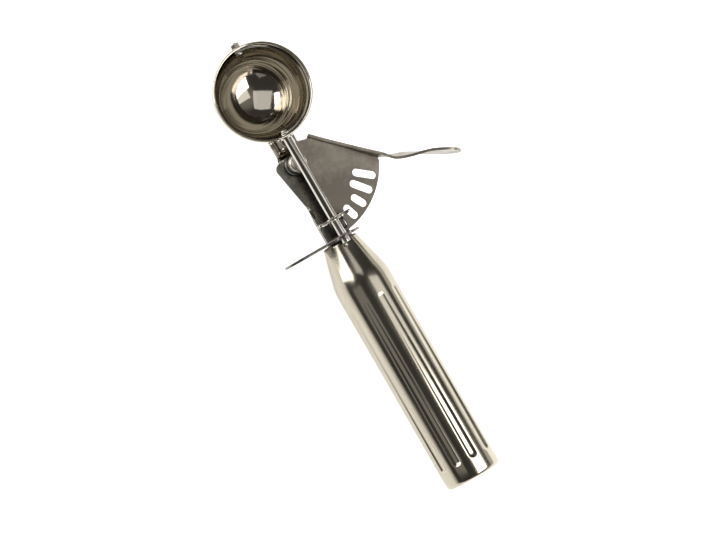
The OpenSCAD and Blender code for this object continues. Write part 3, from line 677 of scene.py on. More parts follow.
class SCOOP_OT_finger_guard(Operator):
    """Thin plate across the handle's mouth, with a tongue for the forefinger."""
    bl_idname = "scoop.finger_guard"
    bl_label = "Finger guard"

    LOBE = 2.6 * MM         # of sheet round the rod's hole

    def outline(self, sizes, rod):
        """Outline seen along the handle: a disc with a tongue at one side and a lobe over it."""
        lobe, half, big = rod.spigot / 2 + self.LOBE, sizes.guard_width / 2, sizes.guard_round
        side, top = asin(half / big), acos(lobe / big)
        points = arc((half - sizes.guard_reach, 0), half, pi / 2, 1.5 * pi, 24)
        points += arc((0, 0), big, pi + side, 2 * pi + top, 48)
        points += arc((0, rod.lift), lobe, 0, pi, 20)
        points += arc((0, 0), big, pi - top, pi - side, 6)
        return points

    def channel(self, sizes, lever, at):
        """Outline of the hole for the frame's channel."""
        wide, deep = sizes.channel / 2 + GAP, sizes.channel / 2 - lever.sheet - GAP
        low, high = at.web - GAP, at.web + sizes.channel_height + GAP
        floor = at.web_top + GAP
        corners = [(-wide, high), (-wide, low), (wide, low), (wide, high), (deep, high),
                   (deep, floor), (-deep, floor), (-deep, high)]
        return [Vector(corner) for corner in corners]

    def execute(self, context):
        at = stations(context)
        scene = context.scene
        sizes, rod, lever = scene.scoop_frame, scene.scoop_rod, scene.scoop_lever
        start, depth = at.guard - PAST, lever.sheet + 2 * PAST
        guard = stamped("finger_guard_plate", self.outline(sizes, rod),
                        lambda u, v: Vector((u, at.guard, v)), Y * lever.sheet)
        slot = stamped("channel_cutter", self.channel(sizes, lever, at),
                       lambda u, v: Vector((u, start, v)), Y * depth)
        hole = drill("rod_hole", rod.spigot / 2 + GAP, Vector((0, start, rod.lift)), Y, depth)
        cut(guard, slot, hole)
        ease_edges(guard, 0.22 * MM)
        hand_over(guard, "scoop_body", "guard_sheet", steels(context)["rolled_sheet"],
                  "finger_guard")
        return {"FINISHED"}


class SCOOP_OT_frame(Operator):
    """Stamped frame: a channel out of the handle, a flat web with shoulders, a trough to the bowl."""
    bl_idname = "scoop.frame"
    bl_label = "Frame"

    TANG, TANG_HALF = 56 * MM, 4 * MM           # reach into the handle, and half the width
    CHANNEL = 18.2 * MM                         # of the channel lies in the handle
    RAMP, WAIST = 12.8 * MM, 18.8 * MM          # from the mouth, where the walls begin to fall and end
    CHANNEL_ROUND = 1.6 * MM
    SHOULDER, TROUGH = 0.6 * MM, 3.4 * MM       # from the pivot, to the shoulders and the trough
    SHOULDER_ROUND = 3 * MM
    TROUGH_WALL = 1.4 * MM                      # that the trough's walls stand above the web
    WALL_START, WALL_FULL = 1 * MM, 2.6 * MM    # from the start of the trough
    POLISHED = 3.6 * MM                         # from the pivot, where the polished part begins
    COLUMNS = 49

    def section(self, y, at, sizes):
        """Half width, underside, top of the walls and corner radius of the frame at a station."""
        def mix(a, b, start, end):
            u = min(max((y - start) / (end - start), 0), 1)
            return a + (b - a) * u
        ramp, waist = at.mouth + self.RAMP, at.mouth + self.WAIST
        shoulder, trough = at.pivot + self.SHOULDER, at.pivot + self.TROUGH
        flat = at.web
        if y < at.mouth - self.CHANNEL:
            return self.TANG_HALF, flat, flat, 0
        if y <= waist:
            half = mix(sizes.channel, sizes.waist, ramp, waist) / 2
            top = mix(flat + sizes.channel_height, flat, ramp, waist)
            return half, flat, top, min(self.CHANNEL_ROUND, top - flat)
        if y <= shoulder:
            return mix(sizes.waist, sizes.shoulders, waist, shoulder) / 2, flat, flat, 0
        radius = sizes.trough / 2
        round_off = sqrt(max(0, 1 - ((y - shoulder) / self.SHOULDER_ROUND) ** 2))
        half = radius + (sizes.shoulders / 2 - radius) * round_off
        into = min(max(y - trough, 0), radius)
        low = min(flat, at.web_top - sqrt(radius ** 2 - (radius - into) ** 2))
        wall = mix(flat, at.web_top + self.TROUGH_WALL, trough + self.WALL_START,
                   trough + self.WALL_FULL)
        top = max(wall, low)
        return half, low, top, min(half, top - low)

    def outline(self, half, low, top, radius):
        """Evenly spaced points along a section, from the top of one wall to that of the other."""
        left = arc((radius - half, low + radius), radius, pi, 1.5 * pi, 12)
        right = arc((half - radius, low + radius), radius, 1.5 * pi, 2 * pi, 12)
        path = [Vector((-half, top))] + left + right + [Vector((half, top))]
        lengths = [0]
        for a, b in zip(path, path[1:]):
            lengths.append(lengths[-1] + (b - a).length)
        points, k = [], 0
        for i in range(self.COLUMNS):
            target = lengths[-1] * i / (self.COLUMNS - 1)
            while k < len(path) - 2 and lengths[k + 1] < target:
                k += 1
            span = lengths[k + 1] - lengths[k]
            points.append(path[k].lerp(path[k + 1], (target - lengths[k]) / span if span else 0))
        return points

    def rows(self, at):
        """Stations of the sections, close together where the shape changes."""
        mouth, pivot = at.mouth, at.pivot
        trough_end = at.bowl - at.bowl_in / 2
        parts = [(mouth - self.TANG, mouth - self.CHANNEL - 0.2 * MM, 1),
                 (mouth - self.CHANNEL + 0.2 * MM, mouth + self.RAMP, 6),
                 (mouth + self.RAMP + 0.6 * MM, mouth + self.WAIST, 9),
                 (mouth + self.WAIST + 1.2 * MM, pivot + self.SHOULDER, 12),
                 (pivot + self.SHOULDER + 0.3 * MM, pivot + 10 * MM, 32),
                 (pivot + 11 * MM, trough_end, 10)]
        return [a + (b - a) * k / n for a, b, n in parts for k in range(n + 1)]

    def execute(self, context):
        at = stations(context)
        sizes, lever = context.scene.scoop_frame, context.scene.scoop_lever
        rows = self.rows(at)
        object_mode()
        bpy.ops.mesh.primitive_grid_add(x_subdivisions=self.COLUMNS - 1,
                                        y_subdivisions=len(rows) - 1, size=1)
        sheet = bpy.context.object
        sheet.name = sheet.data.name = "shank_frame_stamping"
        sections = [self.outline(*self.section(y, at, sizes)) for y in rows]
        for vertex in sheet.data.vertices:
            i = round((vertex.co.x + 0.5) * (self.COLUMNS - 1))
            j = round((vertex.co.y + 0.5) * (len(rows) - 1))
            point = sections[j][i]
            vertex.co = Vector((point.x, rows[j], point.y))
        apply_modifier(sheet, "SOLIDIFY", thickness=lever.sheet, offset=1,
                       use_even_offset=True, use_quality_normals=True)
        hole = drill("pivot_hole", lever.pivot / 2, Vector((0, at.pivot, at.web - PAST)), Z, 4 * MM)
        bpy.ops.mesh.primitive_uv_sphere_add(
            segments=96, ring_count=48, radius=at.bowl_out + SEAT,
            location=(0, at.bowl, context.scene.scoop_rod.lift))
        ball = bpy.context.object
        outward(sheet)
        cut(sheet, hole, ball)
        ease_edges(sheet, 0.2 * MM, segments=2, angle=50)
        finish = steels(context)
        hand_over(sheet, "scoop_body", "frame_sheet", finish["rolled_sheet"], "shank_frame")
        second_finish(sheet, finish["polished_bar"],
                      lambda face: face.center.y > at.pivot + self.POLISHED)
        return {"FINISHED"}


# ---------------------------------------------------------------- bowl

class SCOOP_OT_bowl(Operator):
    """Deep-drawn bowl with a straight rim and a bead round it."""
    bl_idname = "scoop.bowl"
    bl_label = "Bowl"

    def profile(self, sizes, inner, outer):
        """Outline of the wall, from the bottom up the outside, round the bead, and down inside."""
        points = [Vector((0, -outer))] + arc((0, 0), outer, -pi / 2, 0, 48)[1:]
        points += [Vector((outer, (sizes.rim - 2 * sizes.bead) * k / 6)) for k in range(1, 6)]
        bead_at = (outer - sizes.bead / 3, sizes.rim - sizes.bead)
        points += arc(bead_at, sizes.bead, -0.42 * pi, 0.98 * pi, 14)
        points += [Vector((inner, (sizes.rim - 1.5 * sizes.bead) * k / 6)) for k in range(6, 0, -1)]
        points += arc((0, 0), inner, 0, -pi / 2, 48)[:-1] + [Vector((0, -inner))]
        return points

    def execute(self, context):
        at = stations(context)
        sizes, rod = context.scene.scoop_bowl, context.scene.scoop_rod
        centre, depth = Vector((0, at.bowl, rod.lift)), 4 * MM
        bowl = turned("bowl_drawn", self.profile(sizes, at.bowl_in, at.bowl_out), centre, Z, steps=200)
        near = drill("near_hole", rod.diameter / 2 + BUSH_WALL, centre - Y * (at.bowl_out + PAST),
                     Y, depth)
        far = drill("far_hole", rod.spigot / 2 + TIP_WALL, centre + Y * (at.bowl_in - 2 * MM),
                    Y, depth)
        cut(bowl, near, far)
        hand_over(bowl, "scoop_body", "polished_bowl", steels(context)["buffed_bowl"], "bowl",
                  weighted=False)
        return {"FINISHED"}


class SCOOP_OT_bowl_fittings(Operator):
    """Bushes in the bowl's two walls, and the pin, washer and nut at its tip."""
    bl_idname = "scoop.bowl_fittings"
    bl_label = "Bowl fittings"

    BUSH_HEAD, HEAD_LIP = 0.8 * MM, 0.3 * MM        # thickness of the bush's head, and its overhang
    WASHER, WASHER_LIP = 0.4 * MM, 0.3 * MM         # thickness, and what shows round the nut
    NUT = 2 * MM
    PIN_HEAD, PIN_LIP, PIN_BACK = 0.8 * MM, 0.8 * MM, 1 * MM    # thickness, overhang, inside the blade
    PIN_END = 0.4 * MM                              # of the pin stands out of the nut

    def rod_bush(self, at, rod, axis):
        """Headed bush in the wall towards the handle."""
        bore, body = rod.diameter / 2 + GAP, rod.diameter / 2 + BUSH_WALL
        head, wall = body + self.HEAD_LIP, at.bowl - at.bowl_out
        low, high = wall - self.BUSH_HEAD, at.bowl - at.blade_out - 2 * GAP
        shape = [(bore, low), (head, low), (head, wall - SEAT), (body, wall - SEAT),
                 (body, high), (bore, high)]
        radii = [SMALL_EASE, SMALL_EASE, SMALL_EASE, 0, SMALL_EASE, SMALL_EASE]
        return turned("rod_bush_ring", rounded(shape, radii, 2), axis, Y)

    def tip_nut(self, rod, axis, low):
        """Hexagon nut that stands on the washer."""
        object_mode()
        bpy.ops.mesh.primitive_cylinder_add(
            vertices=6, radius=rod.nut / 2 / cos(pi / 6), depth=self.NUT,
            rotation=(-pi / 2, 0, 0), location=axis + Y * (low + self.NUT / 2))
        nut = bpy.context.object
        nut.name = nut.data.name = "tip_nut_hex"
        cut(nut, drill("nut_hole", rod.spigot / 2, axis + Y * (low - PAST), Y,
                       self.NUT + 2 * PAST))
        ease_edges(nut, 0.22 * MM, segments=2)
        return nut

    def tip_pin(self, at, spigot, axis, end):
        """Pin that the blade turns on, with its head inside the blade."""
        low, head = at.bowl + at.blade_in - self.PIN_BACK, spigot + self.PIN_LIP
        back = low + self.PIN_HEAD
        shape = [(0, low), (head, low), (head, back), (spigot, back), (spigot, end), (0, end)]
        radii = [0, 0.35 * MM, SMALL_EASE, 0, 0.3 * MM, 0]
        return turned("tip_pin_headed", rounded(shape, radii, 3), axis, Y)

    def execute(self, context):
        at = stations(context)
        rod = context.scene.scoop_rod
        axis, spigot = Vector((0, 0, rod.lift)), rod.spigot / 2
        inside, wall = at.bowl + at.blade_out + 2 * GAP, at.bowl + at.bowl_out
        on_washer = wall + self.WASHER
        pin_end = on_washer + self.NUT + self.PIN_END
        finish = steels(context)["turned_steel"]
        bush, fitting = "bronze_bush", "plain_steel"
        pieces = (
            (self.rod_bush(at, rod, axis), bush, "rod_bush"),
            (collar("tip_bush_ring", axis, Y, spigot, spigot + TIP_WALL, inside, wall,
                    (SMALL_EASE, 0)), bush, "tip_bush"),
            (collar("tip_washer_ring", axis, Y, spigot, rod.nut / 2 + self.WASHER_LIP, wall + SEAT,
                    on_washer, (SMALL_EASE, SMALL_EASE)), fitting, "tip_washer"),
            (self.tip_nut(rod, axis, on_washer), fitting, "tip_nut"),
            (self.tip_pin(at, spigot, axis, pin_end), fitting, "tip_pin"),
        )
        for piece, slot, node in pieces:
            hand_over(piece, "scoop_body", slot, finish, node)
        return {"FINISHED"}


# ---------------------------------------------------------------- blade, rod and star

class SCOOP_OT_sweep_blade(Operator):
    """Half-ring strip that scrapes the bowl, with a round lug at each end."""
    bl_idname = "scoop.sweep_blade"
    bl_label = "Sweep blade"

    def strip(self, sizes, centre, axis, middle):
        """The strip: its section, spun half round the bowl's centre."""
        half = sizes.blade_width / 2
        near = centre - Y * middle
        corners = [near + Y * (out * sizes.blade_thickness / 2) + axis * (up * half)
                   for out, up in ((-1, -1), (1, -1), (1, 1), (-1, 1))]
        blade = filled("sweep_blade_strip", corners)
        bpy.ops.mesh.spin(steps=72, angle=-pi, center=centre, axis=axis)
        outward(blade)
        return blade

    def lug(self, blade, end, back, half):
        """Draws one end of the strip past the rod's axis and rounds it off."""
        edit_mode(blade)
        select_where(blade, "FACE", lambda face: (face.calc_center_median() - end).length < 0.1 * MM
                     and abs(face.normal.dot(back)) > 0.9)
        extrude(back * half)
        select_where(blade, "EDGE", lambda edge: all(
            (v.co - end).dot(back) > half * 0.9 for v in edge.verts)
            and abs((edge.verts[0].co - edge.verts[1].co).normalized().dot(Y)) > 0.9)
        bpy.ops.mesh.bevel(offset=half * 0.96, segments=8, affect="EDGES", clamp_overlap=True)

    def execute(self, context):
        at = stations(context)
        sizes, rod = context.scene.scoop_bowl, context.scene.scoop_rod
        centre = Vector((0, at.bowl, rod.lift))
        axis = Vector((sin(sizes.blade_rest), 0, cos(sizes.blade_rest)))
        middle = at.blade_in + sizes.blade_thickness / 2
        blade = self.strip(sizes, centre, axis, middle)
        for side in (-1, 1):
            self.lug(blade, centre + Y * side * middle, -Y.cross(axis), sizes.blade_width / 2)
        outward(blade)
        reach, depth, spigot = at.blade_out + PAST, 4 * MM, rod.spigot / 2
        cut(blade, drill("tip_hole", spigot + GAP, centre + Y * (reach - depth), Y, depth),
            drill("rod_hole", spigot, centre - Y * reach, Y, depth))
        ease_edges(blade, 0.15 * MM, segments=2)
        hand_over(blade, "rod_body", "blade_strip", steels(context)["polished_bar"], "sweep_blade")
        return {"FINISHED"}


class SCOOP_OT_blade_rod(Operator):
    """Rod that turns the blade, with the sleeve and nut on its thin end."""
    bl_idname = "scoop.blade_rod"
    bl_label = "Blade rod"

    HEAD, HEAD_LIP = 0.8 * MM, 0.7 * MM     # of the riveted end inside the blade
    LUG_GAP = 0.15 * MM                     # between that end and the blade
    SLEEVE_WALL = 0.6 * MM
    END_NUT = 2.2 * MM

    def execute(self, context):
        at = stations(context)
        rod, lever = context.scene.scoop_rod, context.scene.scoop_lever
        finish = steels(context)
        axis = Vector((0, 0, rod.lift))
        spigot, radius, half_star = rod.spigot / 2, rod.diameter / 2, rod.star_thickness / 2
        start, seat = at.rod_end, at.star + half_star
        lug_out, lug_in = at.bowl - at.blade_out, at.bowl - at.blade_in + self.LUG_GAP
        head, end = spigot + self.HEAD_LIP, lug_in + self.HEAD
        shape = [(0, start), (spigot, start), (spigot, seat), (radius, seat), (radius, lug_out),
                 (spigot, lug_out), (spigot, lug_in), (head, lug_in), (head, end), (0, end)]
        radii = [0, 0.3 * MM, 0, 0.25 * MM, SMALL_EASE, 0, 0, SMALL_EASE, 0.35 * MM, 0]
        bar = turned("blade_rod_turned", rounded(shape, radii, 3), axis, Y, steps=96)
        hand_over(bar, "rod_body", "polished_rod", finish["polished_bar"], "blade_rod")

        outer, eased = spigot + self.SLEEVE_WALL, (0.15 * MM, 0.15 * MM)
        nut_top = at.guard - GAP
        rings = (("pinion_sleeve_tube", "pinion_sleeve", at.guard + lever.sheet + GAP,
                  at.star - half_star),
                 ("rod_end_round_nut", "rod_end_nut", nut_top - self.END_NUT, nut_top))
        for name, node, low, high in rings:
            ring = collar(name, axis, Y, spigot, outer, low, high, eased, arcs=3)
            hand_over(ring, "rod_body", "pinion_steel", finish["turned_steel"], node)
        return {"FINISHED"}


class SCOOP_OT_star_pinion(Operator):
    """Star pinion that works in the lever's slots."""
    bl_idname = "scoop.star_pinion"
    bl_label = "Star pinion"

    ROOT_HALF, CHEEK_HALF, TIP_HALF = 1.25 * MM, 0.85 * MM, 0.4 * MM    # half widths of a tooth
    CHEEK = 0.6 * MM                                                    # below the tip

    def outline(self, rod):
        """Teeth with their valleys, turned so that they meet the lever's slots."""
        tip, root, cheek = rod.star / 2, rod.star_root / 2, rod.star / 2 - self.CHEEK
        side = [(root, self.ROOT_HALF), (cheek, self.CHEEK_HALF), (tip, self.TIP_HALF)]
        tooth = [(r, -half) for r, half in side] + side[::-1]
        points = []
        for i in range(rod.star_teeth):
            spin = Matrix.Rotation((i + 0.5) * 2 * pi / rod.star_teeth + radians(4 * MESH_TURN), 2)
            points += [spin @ Vector(corner) for corner in tooth]
            valley = (i + 1) * 2 * pi / rod.star_teeth + radians(4 * MESH_TURN)
            points.append(Vector((root * cos(valley), root * sin(valley))))
        return points

    def execute(self, context):
        at = stations(context)
        rod = context.scene.scoop_rod
        low = at.star - rod.star_thickness / 2
        star = stamped("star_pinion_stamping", self.outline(rod),
                       lambda u, v: Vector((u, low, v + rod.lift)), Y * rod.star_thickness)
        half = 2 * MM
        cut(star, drill("star_hole", rod.spigot / 2, Vector((0, at.star - half, rod.lift)), Y,
                        2 * half))
        ease_edges(star, 0.15 * MM, segments=2, angle=25)
        hand_over(star, "rod_body", "pinion_steel", steels(context)["turned_steel"], "star_pinion")
        return {"FINISHED"}


# ---------------------------------------------------------------- lever

class SCOOP_OT_lever(Operator):
    """Lever: one stamping with a slotted sector, a folded flange and a curved, leaning thumb rest."""
    bl_idname = "scoop.lever"
    bl_label = "Lever"

    EDGE_X, EDGE_TOP = -0.5 * MM, 9.53 * MM     # straight left edge, and its end towards the bowl
    HEEL = (8.7 * MM, 7 * MM)                   # corner beside the start of the fold
    BOSS = 4.2 * MM                             # radius of the sheet round the rivet
    BOSS_START, BOSS_TURN = 4.8 * MM, 0.12      # distance from the pivot, and turn, where it joins
    ARC_SHORT = 0.02                            # radians that the sector's arc ends before the fold
    FOLD_START, FOLD_END, FOLD_STEPS = 1.2 * MM, 33 * MM, 10    # along the fold
    FLANGE_START, FLANGE_CURVE = 2.2 * MM, 1.6  # height at its start, and the power it grows with
    ARC_RADIUS, ARC_TURN = 18 * MM, radians(27)
    BACK_LENGTH, BACK_TURN = 25.9 * MM, radians(14)
    REST_LENGTH = ARC_RADIUS * ARC_TURN + BACK_LENGTH
    LEAN_FULL, LEAN_LAST, LEAN_NONE = 0.18, 0.25, 0.65      # shares of the thumb rest's length
    TIP_ROUND, TIP_HALF, TIP_LOW = 7 * MM, 1.5 * MM, 3 * MM     # length, least half width, low edge
    REST_PARTS, TIP_PARTS = 28, 10

    def directions(self, lever):
        """Along the fold, and across it away from the pivot."""
        c, s = cos(lever.fold), sin(lever.fold)
        return Vector((c, -s, 0)), Vector((s, c, 0))

    def plate_outline(self, lever):
        """Outline of the plate about the pivot, up to where the fold starts."""
        c, s = cos(lever.fold), sin(lever.fold)
        line = lever.fold_distance - lever.bend

        def on_fold(u):
            return Vector((u * c + line * s, -u * s + line * c))
        last = on_fold(self.FOLD_END)
        start = asin(self.EDGE_X / lever.sector) - pi / 2
        end = atan2(last.y, last.x) - self.ARC_SHORT
        span = self.FOLD_END - self.FOLD_START
        outline = arc((0, 0), lever.sector, start, end, 60)
        outline += [on_fold(self.FOLD_END - span * k / self.FOLD_STEPS)
                    for k in range(self.FOLD_STEPS + 1)]
        outline += [Vector(self.HEEL), Vector((self.EDGE_X, self.EDGE_TOP)),
                    Vector((self.EDGE_X, self.BOSS_START))]
        outline += arc((0, 0), self.BOSS, pi / 2 + self.BOSS_TURN, 1.5 * pi - self.BOSS_TURN, 20)
        outline.append(Vector((self.EDGE_X, -self.BOSS_START)))
        return outline

    def heading(self, lever, s):
        """Direction of the thumb rest's centre line, s along it."""
        first = self.ARC_RADIUS * self.ARC_TURN
        if s < first:
            return -lever.fold + self.ARC_TURN * s / first
        return -lever.fold + self.ARC_TURN - self.BACK_TURN * (s - first) / self.BACK_LENGTH

    def centre_line(self, lever, s):
        """Point of the thumb rest's centre line, s along it: an arc, and a wider one bent back."""
        def step(a, b, radius):
            sign = 1 if b >= a else -1
            return Vector((sin(b) - sin(a), cos(a) - cos(b))) * radius * sign
        first = self.ARC_RADIUS * self.ARC_TURN
        a, across = -lever.fold, lever.fold_distance + lever.sheet / 2
        root = Vector((self.FOLD_END * cos(a) - across * sin(a),
                       self.FOLD_END * sin(a) + across * cos(a)))
        if s <= first:
            return root + step(a, self.heading(lever, s), self.ARC_RADIUS)
        turned_to = self.heading(lever, first)
        return (root + step(a, turned_to, self.ARC_RADIUS)
                + step(turned_to, self.heading(lever, s), self.BACK_LENGTH / self.BACK_TURN))

    def thumb_ring(self, lever, at, s):
        """Four corners of the thumb rest, s along it: they grow, lean and round off to the tip."""
        def ease(u):
            u = min(max(u, 0), 1)
            return u * u * (3 - 2 * u)
        share = s / self.REST_LENGTH
        u = ease(share)
        low, high = at.plate_top + lever.bend, at.plate + lever.flange
        past = max(s - (self.REST_LENGTH - self.TIP_ROUND), 0) / self.TIP_ROUND
        half = ((high - low) * (1 - u) + lever.thumb_width * u) / 2 * sqrt(max(0, 1 - past ** 2))
        half = max(half, self.TIP_HALF)
        middle = (high + low) / 2 * (1 - u) + (self.TIP_LOW + lever.thumb_width / 2) * u
        upright = ease((share - self.LEAN_LAST) / (self.LEAN_NONE - self.LEAN_LAST))
        lean = lever.thumb_lean * ease(share / self.LEAN_FULL) * (1 - upright)
        point, heading = self.centre_line(lever, s), self.heading(lever, s)
        side = Vector((-sin(heading), cos(heading)))
        corners = []
        for out in (-lever.sheet / 2, lever.sheet / 2):
            for up in (-half, half):
                place = point + side * (out * cos(lean) - up * sin(lean))
                height = middle + up * cos(lean) + out * sin(lean)
                corners.append(Vector((place.x, place.y + at.pivot, height)))
        return corners

    def fold_up(self, piece, lever, at):
        """Turns the plate's straight edge up round the bend, and draws the flange up from it."""
        along, across = self.directions(lever)
        line = lever.fold_distance - lever.bend
        pivot = Vector((0, at.pivot, 0))
        edit_mode(piece)
        select_where(piece, "FACE", lambda face: face.normal.dot(across) > 0.99
                     and abs((face.calc_center_median() - pivot).dot(across) - line) < 0.05 * MM)
        bpy.ops.mesh.spin(steps=7, angle=-pi / 2, axis=along,
                          center=pivot + across * line + Z * (at.plate_top + lever.bend))
        extrude(Z * lever.sheet)

        def raised(co):
            reach = (co - pivot).dot(along) - self.FOLD_START
            u = max(reach / (self.FOLD_END - self.FOLD_START), 0)
            grown = (lever.flange - self.FLANGE_START) * u ** self.FLANGE_CURVE
            return Vector((co.x, co.y, at.plate + self.FLANGE_START + grown))
        move_selected(piece, raised)

    def draw_thumb_rest(self, piece, lever, at):
        """Draws the flange's end face out along the thumb rest's centre line."""
        along = self.directions(lever)[0]
        pivot = Vector((0, at.pivot, 0))
        low = at.plate_top + lever.bend
        select_where(piece, "FACE", lambda face: abs(face.normal.dot(along)) > 0.95
                     and face.calc_center_median().z > low + MM
                     and (face.calc_center_median() - pivot).dot(along) > self.FOLD_END - 0.1 * MM)
        body, steps, tip = self.REST_LENGTH - self.TIP_ROUND, self.REST_PARTS, self.TIP_PARTS
        places = [body * k / steps for k in range(1, steps + 1)]
        places += [body + self.TIP_ROUND * sin(pi / 2 * k / tip) for k in range(1, tip + 1)]
        before = self.thumb_ring(lever, at, 0)
        for s in places:
            after = self.thumb_ring(lever, at, s)
            extrude(Vector())
            move_selected(piece, lambda co: min(
                zip(before, after), key=lambda pair: (pair[0] - co).length)[1])
            before = after

    def slot(self, lever, at, turn_by, inner):
        """A slot cutter with round ends, along a radius of the sector."""
        half = lever.slot_width / 2
        outline = arc((lever.slot_outer - half, 0), half, -pi / 2, pi / 2, 16)
        outline += arc((inner + half, 0), half, pi / 2, 1.5 * pi, 16)
        spin = Matrix.Rotation(turn_by - pi / 2, 2)
        points = [spin @ p for p in outline]
        return stamped("slot_cutter", points, lambda u, v: Vector(
            (u, v + at.pivot, at.plate - PAST)), Z * (lever.sheet + 2 * PAST))

    def execute(self, context):
        at = stations(context)
        lever = context.scene.scoop_lever
        piece = stamped("lever_stamping", self.plate_outline(lever), lambda u, v: Vector(
            (u, v + at.pivot, at.plate)), Z * lever.sheet)
        self.fold_up(piece, lever, at)
        self.draw_thumb_rest(piece, lever, at)
        outward(piece)
        pitch = 2 * pi / context.scene.scoop_rod.star_teeth / 4
        first = pitch / 2 + radians(MESH_TURN)
        slots = [self.slot(lever, at, first + k * pitch,
                           lever.slot_short if k < lever.slots - 2 else lever.slot_long)
                 for k in range(lever.slots)]
        hole = drill("pivot_hole", lever.pivot / 2 + GAP, Vector((0, at.pivot, at.plate - PAST)),
                     Z, lever.sheet + 2 * PAST)
        cut(piece, *slots, hole)
        ease_edges(piece, 0.28 * MM)
        finish = steels(context)
        hand_over(piece, "lever_body", "lever_sheet", finish["tumbled_sheet"], "lever")
        # The cut edges and slot walls take the nearly black edge steel: painted shade.
        second_finish(piece, finish["cut_edge_painted_shade"], lambda face: abs(face.normal.z) < 0.97
                      and face.center.z < at.plate_top + 0.01 * MM)
        return {"FINISHED"}


class SCOOP_OT_pivot(Operator):
    """Pivot rivet, the washer under its head and the spacer under the lever."""
    bl_idname = "scoop.pivot"
    bl_label = "Pivot"

    HEAD_GAP, HEAD, DOME = 0.5 * MM, 2.4 * MM, 0.25 * MM    # above the lever, thickness, its rise
    BACK, BACK_LESS = 1.2 * MM, 0.4 * MM                    # thickness behind the web, smaller by
    WASHER, WASHER_LIP = 0.4 * MM, 0.2 * MM
    COIL_GAP = 0.4 * MM                                     # between the spring and the spacer

    def execute(self, context):
        at = stations(context)
        lever = context.scene.scoop_lever
        finish = steels(context)["turned_steel"]
        pivot = Vector((0, at.pivot, 0))
        shank, head = lever.pivot / 2, lever.pivot_head / 2
        low, back = at.web - self.BACK, head - self.BACK_LESS
        head_low = at.plate_top + self.HEAD_GAP
        top = head_low + self.HEAD
        shape = [(0, low), (back, low), (back, at.web), (shank, at.web), (shank, head_low),
                 (head, head_low), (head, top - self.DOME), (0, top)]
        radii = [0, 0.5 * MM, 0.1 * MM, 0, 0, 0.15 * MM, 0.7 * MM, 0]
        rivet = turned("pivot_rivet_headed", rounded(shape, radii), pivot, Z, steps=96)
        hand_over(rivet, "scoop_body", "rivet_steel", finish, "pivot_rivet")

        washer_low = at.plate_top + GAP
        coil_inside = lever.coil / 2 - lever.wire / 2
        rings = (("pivot_washer_ring", "pivot_washer", head + self.WASHER_LIP, washer_low,
                  washer_low + self.WASHER),
                 ("pivot_spacer_ring", "pivot_spacer", coil_inside - self.COIL_GAP, at.web_top,
                  at.plate - GAP))
        for name, node, outer, bottom, top in rings:
            ring = collar(name, pivot, Z, shank + GAP, outer, bottom, top, (0.1 * MM, 0.1 * MM))
            hand_over(ring, "scoop_body", "plain_steel", finish, node)
        return {"FINISHED"}


class SCOOP_OT_return_spring(Operator):
    """Torsion spring round the spacer, one arm on the frame's pin and one on the lever's stud."""
    bl_idname = "scoop.return_spring"
    bl_label = "Return spring"

    COILS, STEPS = 4, 180
    UNDER, OVER = 0.75 * MM, 0.8 * MM       # above the web, and below the lever

    def wire_points(self, lever, at, low, high):
        """Centre line of the wire: a straight leg, the coils, and the other leg."""
        radius = lever.coil / 2
        reach = sqrt(POST_RING ** 2 - radius ** 2)
        arm = acos(radius / POST_RING)
        start = radians(LOWER_LEG_AT) + arm
        end = radians(STUD_AT - LEG_GAP) - leg_clearance(lever) - arm + self.COILS * 2 * pi

        def on_coil(turn_by):
            u = (turn_by - start) / (end - start)
            return Vector((radius * cos(turn_by), radius * sin(turn_by) + at.pivot,
                           low + (high - low) * u))

        def ahead(turn_by):
            return Vector((-sin(turn_by), cos(turn_by), 0))
        coil = [on_coil(start + (end - start) * k / self.STEPS) for k in range(self.STEPS + 1)]
        return [coil[0] - ahead(start) * reach, *coil, coil[-1] + ahead(end) * reach]

    def execute(self, context):
        at = stations(context)
        lever = context.scene.scoop_lever
        low, high = at.web_top + self.UNDER, at.plate - self.OVER
        points = self.wire_points(lever, at, low, high)
        curve = bpy.data.curves.new("return_spring_wire", "CURVE")
        curve.dimensions = "3D"
        spline = curve.splines.new("POLY")
        spline.points.add(len(points) - 1)
        for spot, point in zip(spline.points, points):
            spot.co = (*point, 1)
        curve.bevel_depth, curve.bevel_resolution = lever.wire / 2, 4
        curve.use_fill_caps = True
        spring = bpy.data.objects.new("return_spring_wire", curve)
        bpy.context.scene.collection.objects.link(spring)
        choose(spring)
        bpy.ops.object.convert(target="MESH")
        spring = bpy.context.object
        outward(spring)
        hand_over(spring, None, "spring_wire", steels(context)["spring_wire"], "return_spring",
                  smooth=60, weighted=False)
        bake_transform(spring)
        return {"FINISHED"}


class SCOOP_OT_pins(Operator):
    """Stop pin and spring anchor on the frame, and the stud under the lever."""
    bl_idname = "scoop.pins"
    bl_label = "Pins"

    STOP_TURN = radians(17.6)       # between the stud and the stop pin that it meets
    STUD_GAP, PIN_GAP = 0.5 * MM, 0.6 * MM      # above the web, and below the lever

    def execute(self, context):
        at = stations(context)
        stud = radians(STUD_AT)
        anchor = radians(LOWER_LEG_AT - LEG_GAP) - leg_clearance(context.scene.scoop_lever)
        stud_low, pin_high = at.web_top + self.STUD_GAP, at.plate - self.PIN_GAP
        # The pins take the nearly black edge steel: shade painted on, between the frame and the lever.
        painted_shade_steel, eased = steels(context)["cut_edge_painted_shade"], (0.2 * MM, 0.2 * MM)
        pins = (("lever_stud_pin", "lever_stud", "lever_body", stud, stud_low, at.plate),
                ("stop_pin_turned", "stop_pin", "scoop_body", stud + self.STOP_TURN, at.web,
                 pin_high),
                ("spring_anchor_pin", "spring_anchor", "scoop_body", anchor, at.web, pin_high))
        for name, node, body, where, low, high in pins:
            base = Vector((POST_RING * cos(where), at.pivot + POST_RING * sin(where), 0))
            pin = collar(name, base, Z, 0, POST, low, high, eased, arcs=3, steps=32)
            hand_over(pin, body, "plain_steel", painted_shade_steel, node)
        return {"FINISHED"}


